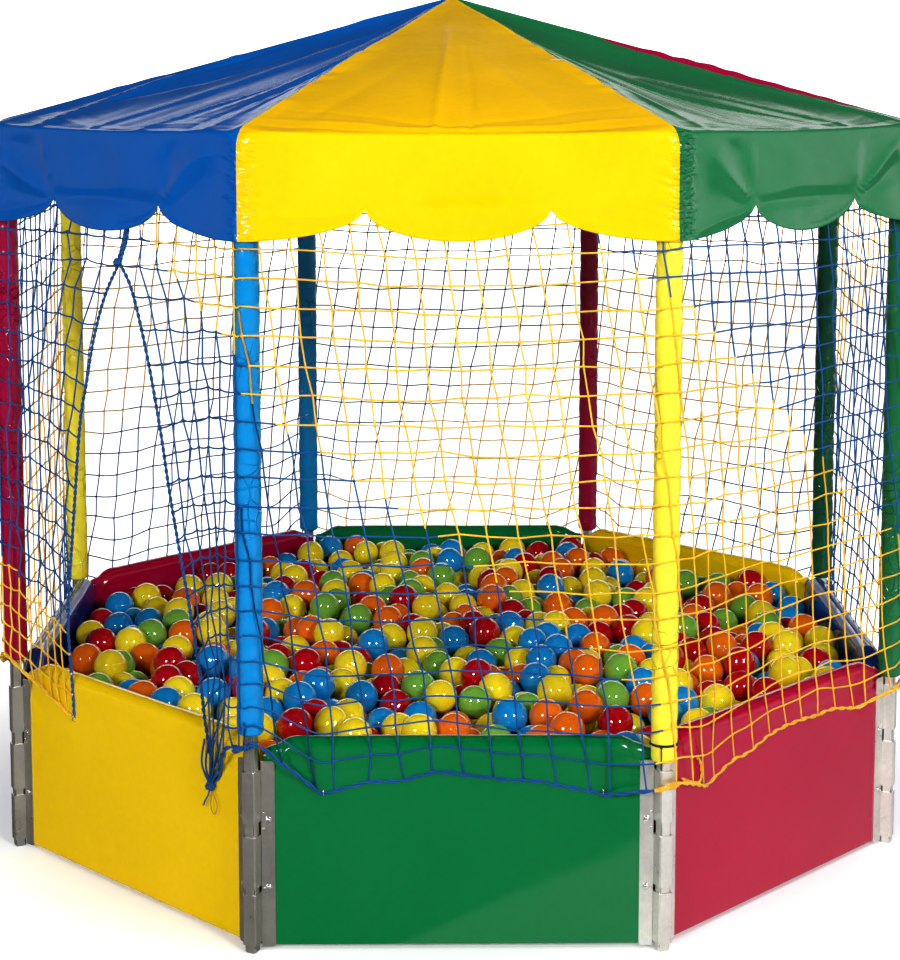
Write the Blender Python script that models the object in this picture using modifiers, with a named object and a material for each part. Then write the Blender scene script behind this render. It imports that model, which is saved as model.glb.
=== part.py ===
"""An octagonal ball pit: padded base panels between square poles, with safety nets, an entrance,
a roof frame that plugs into the poles, and a sewn cover with a scalloped valance.

The pit stands on z = 0, its axis is the Z axis, and its front face looks towards -Y.
"Left" and "right" on a face are those of someone who stands outside and looks at it.
"""

import math
import random

import bmesh
import bpy
import numpy as np
from mathutils import Matrix, Vector
from mathutils.geometry import delaunay_2d_cdt

# Driving sizes, in metres. A name that ends in share or shares is a part of another size.
side_length = 0.850
seat_gap = 0.0003
merge_share = 0.33
cut_overrun = 0.004

# Poles: square tube, closed by a foot plug, open at the top for the roof's spigot
pole_size = 0.025
pole_wall = 0.0015
pole_corner = 0.004
foot_height = 0.010
foot_chamfer = 0.003

# Foam sleeves round the poles, and how far each one's lower end sits above the plates
sleeve_radius = 0.029
sleeve_neck = 0.021
sleeve_end = 0.012
sleeve_top_margin = 0.012
sleeve_lifts = {
    "front_right": 0.000,
    "right_front": 0.000,
    "right_back": 0.026,
    "back_right": 0.026,
    "back_left": 0.026,
    "left_back": 0.026,
    "left_front": 0.047,
    "front_left": 0.060,
}

# Corner brackets: a plate on the panel's face, with square sockets that the pole drops through
socket_wall = 0.0027
socket_corner = 0.003
lower_socket_bottom = 0.018
middle_socket_gap = 0.015
upper_socket_gap = 0.029
upper_socket_drop = 0.019
plate_inner_edge = 0.0195
plate_outer_edge = 0.048
plate_thickness = 0.003
plate_setback = 0.005
plate_bottom = 0.008
plate_top_drop = 0.045
plate_corner = 0.006
tab_lap = 0.0022

# Padded base panels
panel_thickness = 0.045
panel_bottom = 0.010
rim_height = 0.450
panel_crown = 0.004
panel_foot_radius = 0.005
panel_end_pinch = 0.007
panel_end_drop = 0.020
pinch_low_drop = 0.080
pinch_high_drop = 0.062
panel_station_shares = (-1.0, -0.965, -0.62, 0.0, 0.62, 0.965, 1.0)
panel_swell_shares = (0.0, 0.0, 0.8, 1.0, 0.8, 0.0, 0.0)

# Ball fill on its floor mat
ball_diameter = 0.080
ball_pitch = 0.079
ball_jitter = 0.026
ball_lift = 0.030
crevice_depth = 0.036
fill_drop = 0.040
fill_heap = 0.030
settle_share = 0.8
mat_thickness = 0.003
mat_lap = 0.020
crease_end_share = 0.15

# Safety nets, hung outside the sleeves
net_thickness = 0.003
net_strand = 0.005
net_border = 0.008
net_top_drop = 0.060
hem_drop = 0.085
flap_top_gap = 0.018
slit_gap = 0.012
band_start = -0.011
band_slope_share = 0.75
slit_left_shares = (0.50, 0.455, 0.405, 0.350, 0.300, 0.262, 0.240)
slit_right_shares = (0.50, 0.550, 0.610, 0.672, 0.735, 0.795, 0.846)

# Roof frame: rafters from a hub to the poles
apex_height = 2.000
eave_height = 1.700
cover_thickness = 0.002
bend_radius = 0.035
spigot_length = 0.060
ridge_relief = 0.0006
hub_radius = 0.062
hub_depth = 0.052
hub_socket_depth = 0.028
hub_top_gap = 0.004
hub_taper = 0.004
hub_side_share = 0.5
hub_crown_share = 0.33

# Cover and valance
cover_clearance = 0.0012
valance_depth = 0.220
scallop_depth = 0.062
gore_sag = 0.012
eave_dip = 0.008
valance_wave = 0.004
notch_share = 0.29

# Counts
SIDES = 8
SOCKET_COUNT = 3
NET_BAND_COUNT = 6
NET_COLUMNS = 4
NET_ROW_COUNT = 6
FLAP_COLUMNS = 2
BORDER_COLUMNS = 2
BORDER_ROW_COUNT = 2
SLEEVE_STEPS = 16
BEND_STEPS = 4
HUB_STEPS = 24
HUB_SOCKET_STEPS = 12
GORE_COLUMNS = 10
SLOPE_ROW_COUNT = 3
VALANCE_ROW_COUNT = 2
PANEL_ROUND_STEPS = 6
FILL_SEED = 8
SETTLE_TURNS = 80

# Sizes that follow from those above
half_turn = math.pi / SIDES
face_turn = 2 * half_turn
pole_circle = side_length / (2 * math.sin(half_turn))
pole_apothem = pole_circle * math.cos(half_turn)
pole_bore = pole_size - 2 * pole_wall
socket_bore = pole_size + 2 * seat_gap
socket_size = socket_bore + 2 * socket_wall
pole_reach = math.hypot(pole_size / 2, pole_size / 2 - pole_corner)
sleeve_bore = (pole_reach + seat_gap) / math.cos(math.pi / SLEEVE_STEPS)
plate_top = rim_height - plate_top_drop
upper_socket_top = plate_top - upper_socket_drop
socket_gaps = middle_socket_gap + upper_socket_gap
socket_height = (upper_socket_top - lower_socket_bottom - socket_gaps) / SOCKET_COUNT
middle_socket_bottom = lower_socket_bottom + socket_height + middle_socket_gap
upper_socket_bottom = upper_socket_top - socket_height
pinch_bottom = rim_height - pinch_low_drop
pinch_top = rim_height - pinch_high_drop
panel_face = plate_setback + plate_thickness + seat_gap
panel_inner = panel_face + panel_thickness
panel_half = side_length / 2 - panel_inner * math.tan(half_turn) - seat_gap
net_setback = sleeve_radius + seat_gap
net_line = net_setback + net_thickness / 2
net_band = SIDES * side_length / NET_BAND_COUNT
net_top = eave_height - net_top_drop
hem_height = rim_height - hem_drop
flap_top = eave_height - valance_depth - flap_top_gap
tube_radius = pole_bore / 2 - seat_gap
valance_setback = net_setback + net_thickness + cover_clearance + cover_thickness
cover_apothem = pole_apothem + valance_setback
cover_radius = cover_apothem / math.cos(half_turn)
ridge_slope = math.atan2(apex_height - eave_height, cover_radius)
axis_drop = (tube_radius + seat_gap + ridge_relief + cover_thickness) / math.cos(ridge_slope)
bend_centre = pole_circle - bend_radius
bend_start = bend_centre + bend_radius * math.sin(ridge_slope)
bend_height = (
    apex_height - bend_start * math.tan(ridge_slope) - axis_drop
    - bend_radius * math.cos(ridge_slope)
)
pole_top = bend_height - seat_gap
fill_edge_height = rim_height - fill_drop
fill_apothem = pole_apothem - panel_inner - panel_crown - seat_gap
merge_distance = seat_gap * merge_share

FACES = ("front", "front_right", "right", "back_right", "back", "back_left", "left", "front_left")
CORNERS = (
    "front_right", "right_front", "right_back", "back_right",
    "back_left", "left_back", "left_front", "front_left",
)

COLOURS = {
    "vinyl_yellow": (0.82, 0.48, 0.004),
    "vinyl_blue": (0.006, 0.075, 0.36),
    "vinyl_azure": (0.004, 0.20, 0.70),
    "vinyl_green": (0.004, 0.16, 0.045),
    "vinyl_red": (0.42, 0.001, 0.018),
    "ball_yellow": (0.91, 0.63, 0.02),
    "ball_blue": (0.015, 0.27, 0.64),
    "ball_red": (0.46, 0.003, 0.008),
    "ball_orange": (0.79, 0.16, 0.006),
    "ball_green": (0.19, 0.45, 0.045),
    "net_blue": (0.006, 0.08, 0.33),
    "net_yellow": (0.90, 0.50, 0.02),
    "metal": (0.55, 0.54, 0.50),
}
PANEL_COLOURS = ("green", "red", "blue", "yellow", "green", "red", "blue", "yellow")
SLEEVE_COLOURS = ("yellow", "green", "green", "red", "azure", "yellow", "red", "azure")
GORE_COLOURS = ("yellow", "green", "red", "blue", "yellow", "green", "red", "blue")
BALL_COLOURS = ("yellow", "yellow", "blue", "red", "orange", "green")


def material(name):
    """The named material, made on its first use."""
    found = bpy.data.materials.get(name)
    if found:
        return found
    made = bpy.data.materials.new(name)
    made.use_nodes = True
    made.diffuse_color = (*COLOURS[name], 1)
    shader = made.node_tree.nodes["Principled BSDF"]
    shader.inputs["Base Color"].default_value = (*COLOURS[name], 1)
    shader.inputs["Metallic"].default_value = 1.0 if name == "metal" else 0.0
    shader.inputs["Roughness"].default_value = 0.8 if name.startswith("net") else 0.3
    return made


def fresh_collection(name):
    made = bpy.data.collections.new(name)
    bpy.context.scene.collection.children.link(made)
    return made


for old in list(bpy.data.objects):
    bpy.data.objects.remove(old, do_unlink=True)
pit = fresh_collection("ball_pit")
cutters = fresh_collection("cutters")


def add(name, data, place=Matrix(), parent=None, colour=None, collection=pit):
    """An object at a place in the world, with its own material even where its mesh is shared."""
    made = bpy.data.objects.new(name, data)
    collection.objects.link(made)
    made.parent = parent
    made.matrix_world = place
    if colour:
        if not data.materials:
            data.materials.append(None)
        made.material_slots[0].link = "OBJECT"
        made.material_slots[0].material = material(colour)
    return made


def mesh_from(bm, name):
    """A finished bmesh as mesh data, with its faces turned outwards."""
    bmesh.ops.recalc_face_normals(bm, faces=bm.faces)
    data = bpy.data.meshes.new(name)
    bm.to_mesh(data)
    bm.free()
    return data


def baked(shape, name):
    """The evaluated mesh of an object with modifiers, which is then removed."""
    bpy.context.view_layer.update()
    graph = bpy.context.evaluated_depsgraph_get()
    data = bpy.data.meshes.new_from_object(shape.evaluated_get(graph))
    data.name = name
    bpy.data.objects.remove(shape, do_unlink=True)
    return data


def boolean(shape, tool, operation):
    modifier = shape.modifiers.new(operation.lower(), "BOOLEAN")
    modifier.operation = operation
    modifier.object = tool
    return modifier


def joined(base, unions, cuts, name):
    """One mesh from a bar, the bars joined to it and the bars cut from it."""
    shape = add(name, mesh_from(base, name))
    tools = []
    for operation, bars in (("UNION", unions), ("DIFFERENCE", cuts)):
        for bar in bars:
            tool = add(name + "_tool", mesh_from(bar, name), collection=cutters)
            boolean(shape, tool, operation)
            tools.append(tool)
    data = baked(shape, name)
    for tool in tools:
        bpy.data.objects.remove(tool, do_unlink=True)
    return data


def bar(width, depth, low, high, corner=0.0, turn=0.0, centre=(0.0, 0.0)):
    """An upright bar of rectangular section, with its long edges cut off at a corner size."""
    bm = bmesh.new()
    bmesh.ops.create_cube(bm, size=1)
    bmesh.ops.scale(bm, vec=(width, depth, high - low), verts=bm.verts)
    upright = [
        edge for edge in bm.edges
        if abs(edge.verts[0].co.z - edge.verts[1].co.z) > (high - low) / 2
    ]
    if corner:
        bmesh.ops.bevel(bm, geom=upright, offset=corner, segments=1, profile=0.5, affect="EDGES")
    bmesh.ops.rotate(bm, cent=(0, 0, 0), matrix=Matrix.Rotation(turn, 3, "Z"), verts=bm.verts)
    bmesh.ops.translate(bm, vec=(*centre, (high + low) / 2), verts=bm.verts)
    return bm


def mapped_grid(columns, rows, place):
    """A grid whose points go where place(column, row) says. Points that coincide are joined."""
    bm = bmesh.new()
    made = bmesh.ops.create_grid(bm, x_segments=columns, y_segments=rows, size=1)
    for vertex in made["verts"]:
        column = round((vertex.co.x + 1) / 2 * columns)
        row = round((vertex.co.y + 1) / 2 * rows)
        vertex.co = place(column, row)
    bmesh.ops.remove_doubles(bm, verts=bm.verts, dist=merge_distance)
    return bm


def eased(low, high, value):
    """0 below low, 1 above high, and smooth between."""
    part = min(1.0, max(0.0, (value - low) / (high - low)))
    return part * part * (3 - 2 * part)


def face_angle(index):
    """The direction in which a face looks, as a turn about +Z."""
    return -math.pi / 2 + index * face_turn


def face_place(index, along=0.0, outwards=0.0):
    """The frame of a face: +X to its right along the line of pole axes, +Y into the pit."""
    turn = Matrix.Rotation(face_angle(index) + math.pi / 2, 4, "Z")
    return turn @ Matrix.Translation((along, -pole_apothem - outwards, 0))


def corner_place(index):
    """The frame of the corner after a face: +X straight out from the pit's axis, at the pole."""
    turn = Matrix.Rotation(face_angle(index) + half_turn, 4, "Z")
    return turn @ Matrix.Translation((pole_circle, 0, 0))


def build_poles():
    """Square tubes that drop through the brackets' sockets and stand on their foot plugs."""
    tube = bar(pole_size, pole_size, 0, pole_top, pole_corner)
    foot = [edge for edge in tube.edges if all(v.co.z < foot_height for v in edge.verts)]
    bmesh.ops.bevel(tube, geom=foot, offset=foot_chamfer, segments=1, profile=0.5, affect="EDGES")
    bore = bar(pole_bore, pole_bore, foot_height, pole_top + cut_overrun)
    data = joined(tube, [], [bore], "pole")
    for index, corner in enumerate(CORNERS):
        add("pole_" + corner, data, corner_place(index), colour="metal")


def build_sleeves():
    """Foam sleeves with drawn-in ends, turned about the pole's axis."""
    for index, corner in enumerate(CORNERS):
        top = pole_top - sleeve_top_margin
        bottom = plate_top + seat_gap + sleeve_lifts[corner]
        half_end = sleeve_end / 2
        side = [
            (sleeve_neck, top),
            (sleeve_radius - half_end / 2, top - half_end / 2),
            (sleeve_radius, top - sleeve_end),
            (sleeve_radius, bottom + sleeve_end),
            (sleeve_radius - half_end / 2, bottom + half_end / 2),
            (sleeve_neck, bottom),
            (sleeve_bore, bottom),
            (sleeve_bore, top),
        ]
        data = bpy.data.meshes.new("sleeve_" + corner)
        ring = [(k, (k + 1) % len(side)) for k in range(len(side))]
        data.from_pydata([(radius, 0, height) for radius, height in side], ring, [])
        colour = "vinyl_" + SLEEVE_COLOURS[index]
        sleeve = add("sleeve_" + corner, data, corner_place(index), colour=colour)
        screw = sleeve.modifiers.new("turned", "SCREW")
        screw.steps = screw.render_steps = SLEEVE_STEPS
        screw.use_merge_vertices = True
        screw.merge_threshold = merge_distance
        screw.use_smooth_shade = True


def bracket(side, socket_bottoms, name):
    """A plate with sockets: side is +1 where the panel lies towards +X from the pole, else -1.

    The sockets are square to the corner's own direction, half a corner's turn from the panel.
    """
    plate_width = plate_outer_edge - plate_inner_edge
    plate_middle = (plate_outer_edge + plate_inner_edge) / 2
    depth_middle = plate_setback + plate_thickness / 2
    plate = bar(plate_width, plate_thickness, plate_bottom, plate_top,
                centre=(side * plate_middle, depth_middle))
    ends = [
        edge for edge in plate.edges
        if all(side * v.co.x > plate_middle for v in edge.verts)
        and abs(edge.verts[0].co.y - edge.verts[1].co.y) > plate_thickness / 2
    ]
    bmesh.ops.bevel(plate, geom=ends, offset=plate_corner, segments=2, profile=0.5, affect="EDGES")
    plate_back = plate_setback + plate_thickness
    tab_start = (socket_bore / 2 + math.sin(half_turn) * plate_back) / math.cos(half_turn) + seat_gap
    tab_end = plate_inner_edge + tab_lap
    pieces = []
    for low in socket_bottoms:
        high = low + socket_height
        pieces.append(bar(socket_size, socket_size, low, high, socket_corner, -side * half_turn))
        pieces.append(
            bar(tab_end - tab_start, plate_thickness - 2 * seat_gap, low + plate_thickness,
                high - plate_thickness, centre=(side * (tab_start + tab_end) / 2, depth_middle))
        )
    bore = bar(socket_bore, socket_bore, plate_bottom - cut_overrun, plate_top + cut_overrun,
               pole_corner, -side * half_turn)
    return joined(plate, pieces, [bore], name)


def build_brackets():
    """Each panel has two sockets at its left end, and one at its right end that goes between them."""
    left = bracket(1, (lower_socket_bottom, upper_socket_bottom), "left_bracket")
    right = bracket(-1, (middle_socket_bottom,), "right_bracket")
    for index, face in enumerate(FACES):
        add("left_bracket_" + face, left, face_place(index, -side_length / 2), colour="metal")
        add("right_bracket_" + face, right, face_place(index, side_length / 2), colour="metal")


def build_panels():
    """Vinyl pads with a full round top, whose covers are drawn in at the upper ends."""
    round_radius = panel_thickness / 2
    middle = panel_face + round_radius
    round_height = rim_height - round_radius
    foot = panel_foot_radius
    section = [
        (panel_face + foot, panel_bottom), (panel_face, panel_bottom + foot),
        (panel_face, pinch_bottom), (panel_face, pinch_top),
    ]
    for step in range(PANEL_ROUND_STEPS + 1):
        angle = math.pi * (1 - step / PANEL_ROUND_STEPS)
        depth = middle + round_radius * math.cos(angle)
        section.append((depth, round_height + round_radius * math.sin(angle)))
    section += [
        (panel_inner, pinch_top), (panel_inner, pinch_bottom),
        (panel_inner, panel_bottom + foot), (panel_inner - foot, panel_bottom),
    ]
    last = len(panel_station_shares) - 1

    def place(column, row):
        depth, height = section[row % len(section)]
        half = panel_half - panel_end_pinch * eased(pinch_bottom, pinch_top, height)
        inwards = (middle - depth) / round_radius
        upright = eased(panel_bottom, panel_bottom + panel_thickness, height)
        drop = panel_end_drop * eased(pinch_top, rim_height, height) if column in (0, last) else 0.0
        return Vector((
            panel_station_shares[column] * half,
            depth - panel_crown * panel_swell_shares[column] * inwards * upright,
            height - drop,
        ))

    bm = mapped_grid(last, len(section), place)
    open_edges = [edge for edge in bm.edges if edge.is_boundary]
    bmesh.ops.holes_fill(bm, edges=open_edges, sides=0)
    data = mesh_from(bm, "panel")
    data.shade_smooth()
    data.set_sharp_from_angle(angle=math.radians(50))
    for index, face in enumerate(FACES):
        add("panel_" + face, data, face_place(index), colour="vinyl_" + PANEL_COLOURS[index])


def octagon_reach(x, y):
    """How far a point lies from the pit's axis, measured square to the nearest face."""
    return max(x * math.cos(face_angle(k)) + y * math.sin(face_angle(k)) for k in range(SIDES))


def fill_points():
    """Places of the balls on top: rows shifted at random, then pushed apart until no two balls overlap."""
    chance = random.Random(FILL_SEED)
    row_pitch = ball_pitch * math.sqrt(3) / 2
    rows = math.ceil(fill_apothem / row_pitch)
    limit = fill_apothem - ball_diameter / 2
    spots = []
    for row in range(-rows, rows + 1):
        shift = ball_pitch / 2 if row % 2 else 0.0
        for column in range(-rows - 1, rows + 2):
            x = column * ball_pitch + shift
            y = row * row_pitch
            if octagon_reach(x, y) < limit:
                moves = [chance.uniform(-ball_jitter, ball_jitter) for axis in range(2)]
                spots.append((x + moves[0], y + moves[1], chance.uniform(-ball_lift, ball_lift)))
    balls = np.array(spots)
    walls = [(math.cos(face_angle(k)), math.sin(face_angle(k)), 0.0) for k in range(SIDES)]
    for turn in range(SETTLE_TURNS):
        apart = balls[:, None] - balls[None]
        length = np.linalg.norm(apart, axis=2)
        np.fill_diagonal(length, ball_diameter)
        push = np.clip(ball_diameter - length, 0, None) / (2 * length)
        balls += (apart * push[:, :, None]).sum(axis=1) * settle_share
        balls[:, 2] = np.clip(balls[:, 2], -ball_lift, ball_lift)
        for wall in np.array(walls):
            balls -= np.clip(balls @ wall - limit, 0, None)[:, None] * wall
    colours = [chance.choice(BALL_COLOURS) for ball in balls]
    return [(Vector(ball[:2]), float(ball[2]), colour) for ball, colour in zip(balls, colours)]


def build_fill():
    """The balls that show, each a facet dome with its own colour, on the bulk of the fill and its mat."""
    balls = fill_points()
    wall_steps = max(2, round(side_length / (2 * ball_pitch)))
    corner_reach = fill_apothem / math.cos(half_turn)
    wall = []
    for index in range(SIDES):
        start = face_angle(index) - half_turn
        end = start + face_turn
        first = Vector((math.cos(start), math.sin(start))) * corner_reach
        last = Vector((math.cos(end), math.sin(end))) * corner_reach
        wall += [first.lerp(last, step / wall_steps) for step in range(wall_steps)]
    flat = [point for point, lift, colour in balls] + wall
    outline = list(range(len(balls), len(flat)))
    result = delaunay_2d_cdt(flat, [], [outline], 1, merge_distance)
    bm = bmesh.new()
    corners = []
    for spot, sources in zip(result[0], result[3]):
        source = sources[0]
        reach = octagon_reach(spot.x, spot.y) / fill_apothem
        height = fill_edge_height + fill_heap * (1 - reach * reach)
        if source < len(balls):
            height += balls[source][1]
        else:
            height -= crevice_depth
        vertex = bm.verts.new((spot.x, spot.y, height))
        corners.append((vertex, source))
    for face in result[2]:
        bm.faces.new([corners[k][0] for k in face])
    ball_of = {vertex: balls[source][2] for vertex, source in corners if source < len(balls)}
    ridges = [edge for edge in bm.edges if not edge.is_boundary]
    poked = bmesh.ops.poke(bm, faces=bm.faces)
    for vertex in poked["verts"]:
        vertex.co.z -= crevice_depth
    crevices = set(poked["verts"])
    swapped = []
    for edge in ridges:
        ends = [v for face in edge.link_faces for v in face.verts if v in crevices]
        line = (edge.verts[1].co - edge.verts[0].co).to_2d()
        shares = [(v.co - edge.verts[0].co).to_2d().dot(line) / line.length_squared for v in ends]
        inside = all(crease_end_share < share < 1 - crease_end_share for share in shares)
        if len(ends) == 2 and inside:
            swapped.append(edge)
    bmesh.ops.rotate_edges(bm, edges=swapped, use_ccw=False)
    palette = sorted(set(BALL_COLOURS))
    for face in bm.faces:
        shown = [ball_of[v] for v in face.verts if v in ball_of]
        face.material_index = palette.index(shown[0]) if shown else 0
        face.smooth = True
    rim = [edge for edge in bm.edges if edge.is_boundary]
    wide = (fill_apothem + mat_lap) / fill_apothem
    for height, spread in ((mat_thickness, 1.0), (mat_thickness, wide), (0.0, 1.0)):
        made = bmesh.ops.extrude_edge_only(bm, edges=rim)["geom"]
        for vertex in (part for part in made if isinstance(part, bmesh.types.BMVert)):
            vertex.co = (vertex.co.x * spread, vertex.co.y * spread, height)
        rim = [part for part in made if isinstance(part, bmesh.types.BMEdge) and part.is_boundary]
    bmesh.ops.holes_fill(bm, edges=rim, sides=0)
    data = mesh_from(bm, "ball_fill")
    for colour in palette:
        data.materials.append(material("ball_" + colour))
    add("ball_fill", data)


def net_colour(along, height):
    """0 for blue, 1 for yellow: slanting bands that go round the pit, down to the right."""
    return math.floor((along + height / band_slope_share - band_start) / net_band) % 2


def net(name, index, along, columns, rows, place):
    """A flat net on a face: a grid whose border cells stay whole and whose other cells are opened."""
    bm = mapped_grid(columns, rows, place)
    inner = [face for face in bm.faces if not any(v.is_boundary for v in face.verts)]
    bmesh.ops.inset_individual(bm, faces=inner, thickness=net_strand / 2, depth=0)
    bmesh.ops.delete(bm, geom=inner, context="FACES")
    for face in bm.faces:
        centre = face.calc_center_median()
        face.material_index = net_colour(side_length * index + along + centre.x, centre.z)
    data = mesh_from(bm, name)
    data.materials.append(material("net_blue"))
    data.materials.append(material("net_yellow"))
    made = add(name, data, face_place(index, along, net_line))
    shell = made.modifiers.new("strands", "SOLIDIFY")
    shell.thickness = net_thickness
    shell.offset = 0


def with_border(step, steps, low, high):
    """The place of a grid line, where the first and the last cell are as wide as the border."""
    if step == 0:
        return low
    if step == steps:
        return high
    return low + net_border + (high - low - 2 * net_border) * (step - 1) / (steps - 2)


def build_nets():
    """A net on each whole face, and two flaps that meet at the top of the entrance's slit.

    Each net ends on the line where it leaves a pole's sleeve, and a flap swings about that line.
    """
    rows = NET_ROW_COUNT + BORDER_ROW_COUNT
    columns = NET_COLUMNS + BORDER_COLUMNS
    flap_columns = FLAP_COLUMNS + BORDER_COLUMNS

    def whole(column, row):
        across = with_border(column, columns, -side_length / 2, side_length / 2)
        return Vector((across, 0, with_border(row, rows, hem_height, net_top)))

    def slit_edge(shares, height):
        part = (flap_top - height) / (flap_top - hem_height) * (len(shares) - 1)
        first = min(int(part), len(shares) - 2)
        return side_length * (shares[first] + (shares[first + 1] - shares[first]) * (part - first))

    def left_flap(column, row):
        height = with_border(row, rows, hem_height, flap_top)
        edge = slit_edge(slit_left_shares, height) - slit_gap / 2
        return Vector((with_border(column, flap_columns, 0, edge), 0, height))

    def right_flap(column, row):
        height = with_border(row, rows, hem_height, flap_top)
        edge = slit_edge(slit_right_shares, height) + slit_gap / 2 - side_length
        return Vector((with_border(column, flap_columns, edge, 0), 0, height))

    for index, face in enumerate(FACES[:-1]):
        net("net_" + face, index, 0, columns, rows, whole)
    net("entrance_flap_left", -1, -side_length / 2, flap_columns, rows, left_flap)
    net("entrance_flap_right", -1, side_length / 2, flap_columns, rows, right_flap)


def rafter_line():
    """The points of a rafter's middle line in the corner's plane, from the hub to the spigot's end."""
    start = hub_radius - hub_socket_depth + seat_gap
    line = [(start, apex_height - start * math.tan(ridge_slope) - axis_drop)]
    for step in range(BEND_STEPS + 1):
        angle = (math.pi / 2 - ridge_slope) * (1 - step / BEND_STEPS)
        line.append((
            bend_centre + bend_radius * math.cos(angle),
            bend_height + bend_radius * math.sin(angle),
        ))
    line.append((pole_circle, bend_height - spigot_length))
    return line


def build_roof_frame(lift):
    """Bent rafters that plug into the hub's sockets and into the open tops of the poles."""
    line = rafter_line()
    data = bpy.data.curves.new("rafter", "CURVE")
    data.dimensions = "3D"
    data.bevel_depth = tube_radius
    data.bevel_resolution = 3
    data.use_fill_caps = True
    spline = data.splines.new("POLY")
    spline.points.add(len(line) - 1)
    for point, (radius, height) in zip(spline.points, line):
        point.co = (radius, 0, height, 1)
    for index, corner in enumerate(CORNERS):
        turn = Matrix.Rotation(face_angle(index) + half_turn, 4, "Z")
        add("rafter_" + corner, data, turn, lift, "metal")

    radius = hub_radius
    cone = (apex_height - eave_height) / cover_apothem
    crown = radius * hub_crown_share
    top = apex_height - crown * cone - cover_thickness - hub_top_gap
    brow = apex_height - radius * cone - cover_thickness - hub_top_gap
    side = [
        (0.0, top),
        (crown, top),
        (radius, brow),
        (radius, brow - hub_depth * hub_side_share),
        (radius - hub_taper, brow - hub_depth),
        (0.0, brow - hub_depth),
    ]
    profile = bpy.data.meshes.new("roof_hub")
    profile.from_pydata([(r, 0, z) for r, z in side], [(k, k + 1) for k in range(len(side) - 1)], [])
    hub = add("roof_hub", profile, Matrix(), lift, "metal")
    screw = hub.modifiers.new("turned", "SCREW")
    screw.steps = screw.render_steps = HUB_STEPS
    screw.use_merge_vertices = True
    screw.merge_threshold = merge_distance
    screw.use_smooth_shade = True

    sockets = bmesh.new()
    depth = hub_socket_depth + 2 * cut_overrun
    middle = radius - hub_socket_depth + depth / 2 * math.cos(ridge_slope)
    height = apex_height - middle * math.tan(ridge_slope) - axis_drop
    bore = (tube_radius + seat_gap) / math.cos(math.pi / HUB_SOCKET_STEPS)
    tilt = Matrix.Rotation(math.pi / 2 + ridge_slope, 4, "Y")
    for index in range(SIDES):
        turn = Matrix.Rotation(face_angle(index) + half_turn, 4, "Z")
        bmesh.ops.create_cone(
            sockets, cap_ends=True, segments=HUB_SOCKET_STEPS, radius1=bore, radius2=bore,
            depth=depth, matrix=turn @ Matrix.Translation((middle, 0, height)) @ tilt,
        )
    tool = add("hub_sockets", mesh_from(sockets, "hub_sockets"), Matrix(), lift, collection=cutters)
    tool.hide_render = True
    tool.display_type = "WIRE"
    boolean(hub, tool, "DIFFERENCE")


def cover_columns():
    """Shares across a gore, closer together where the scallops turn, and the scallops' drop there."""
    corner_steps = 3
    middle_steps = 4
    columns = []
    for step in range(corner_steps):
        part = math.cos(math.pi / 2 * (1 - step / corner_steps))
        columns.append((notch_share * part, math.sqrt(1 - part * part)))
    for step in range(middle_steps + 1):
        angle = math.pi * step / middle_steps
        columns.append((0.5 - (0.5 - notch_share) * math.cos(angle), math.sin(angle)))
    for step in range(1, corner_steps):
        part = math.cos(math.pi / 2 * step / corner_steps)
        columns.append((1 - notch_share * part, math.sqrt(1 - part * part)))
    return columns


def build_cover(lift):
    """One sewn cover: a gore over each face, sagging a little between rafters, and its valance."""
    columns = cover_columns()
    rows = SLOPE_ROW_COUNT + VALANCE_ROW_COUNT

    def place(column, row):
        index, step = divmod(column % (SIDES * GORE_COLUMNS), GORE_COLUMNS)
        share, drop = columns[step]
        start = face_angle(index) - half_turn
        end = start + face_turn
        first = Vector((math.cos(start), math.sin(start), 0)) * cover_radius
        last = Vector((math.cos(end), math.sin(end), 0)) * cover_radius
        edge = first.lerp(last, share)
        middle = 1 - (2 * share - 1) ** 2
        outwards = Vector((math.cos(face_angle(index)), math.sin(face_angle(index)), 0))
        if row <= SLOPE_ROW_COUNT:
            part = row / SLOPE_ROW_COUNT
            sag = gore_sag * middle * math.sin(math.pi * part) + eave_dip * middle * part
            height = apex_height + (eave_height - apex_height) * part - sag
            return Vector((edge.x * part, edge.y * part, height))
        part = (row - SLOPE_ROW_COUNT) / VALANCE_ROW_COUNT
        top = eave_height - eave_dip * middle
        bottom = eave_height - valance_depth + scallop_depth * (1 - drop)
        wave = valance_wave * math.sin(math.pi * part) * math.sin(2 * math.pi * share) ** 2
        spot = edge + outwards * wave
        return Vector((spot.x, spot.y, top + (bottom - top) * part))

    bm = mapped_grid(SIDES * GORE_COLUMNS, rows, place)
    palette = sorted(set(GORE_COLOURS))
    for face in bm.faces:
        centre = face.calc_center_median()
        index = round((math.atan2(centre.y, centre.x) + math.pi / 2) / face_turn) % SIDES
        face.material_index = palette.index(GORE_COLOURS[index])
        face.smooth = True
    data = mesh_from(bm, "cover")
    for colour in palette:
        data.materials.append(material("vinyl_" + colour))
    data.set_sharp_from_angle(angle=math.radians(30))
    cover = add("cover", data, Matrix(), lift)
    shell = cover.modifiers.new("cloth", "SOLIDIFY")
    shell.thickness = cover_thickness
    shell.offset = -1
    shell.use_even_offset = True


build_poles()
build_sleeves()
build_brackets()
build_panels()
build_fill()
build_nets()
frame_lift = add("roof_frame_lift", None)
cover_lift = add("cover_lift", None, parent=frame_lift)
build_roof_frame(frame_lift)
build_cover(cover_lift)
bpy.context.view_layer.update()
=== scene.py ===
# %% [markdown]
# A ball pit for children: eight padded panels between square poles, foam sleeves on the poles, a knotted
# net round the outside, a sewn vinyl cover on top and thousands of glossy balls inside.
#
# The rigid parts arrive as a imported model, the frame. This script never moves them. It gives them their
# finish, and puts a finely made piece in the place of each soft one.

# %% Load the frame
import math
import random

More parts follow.
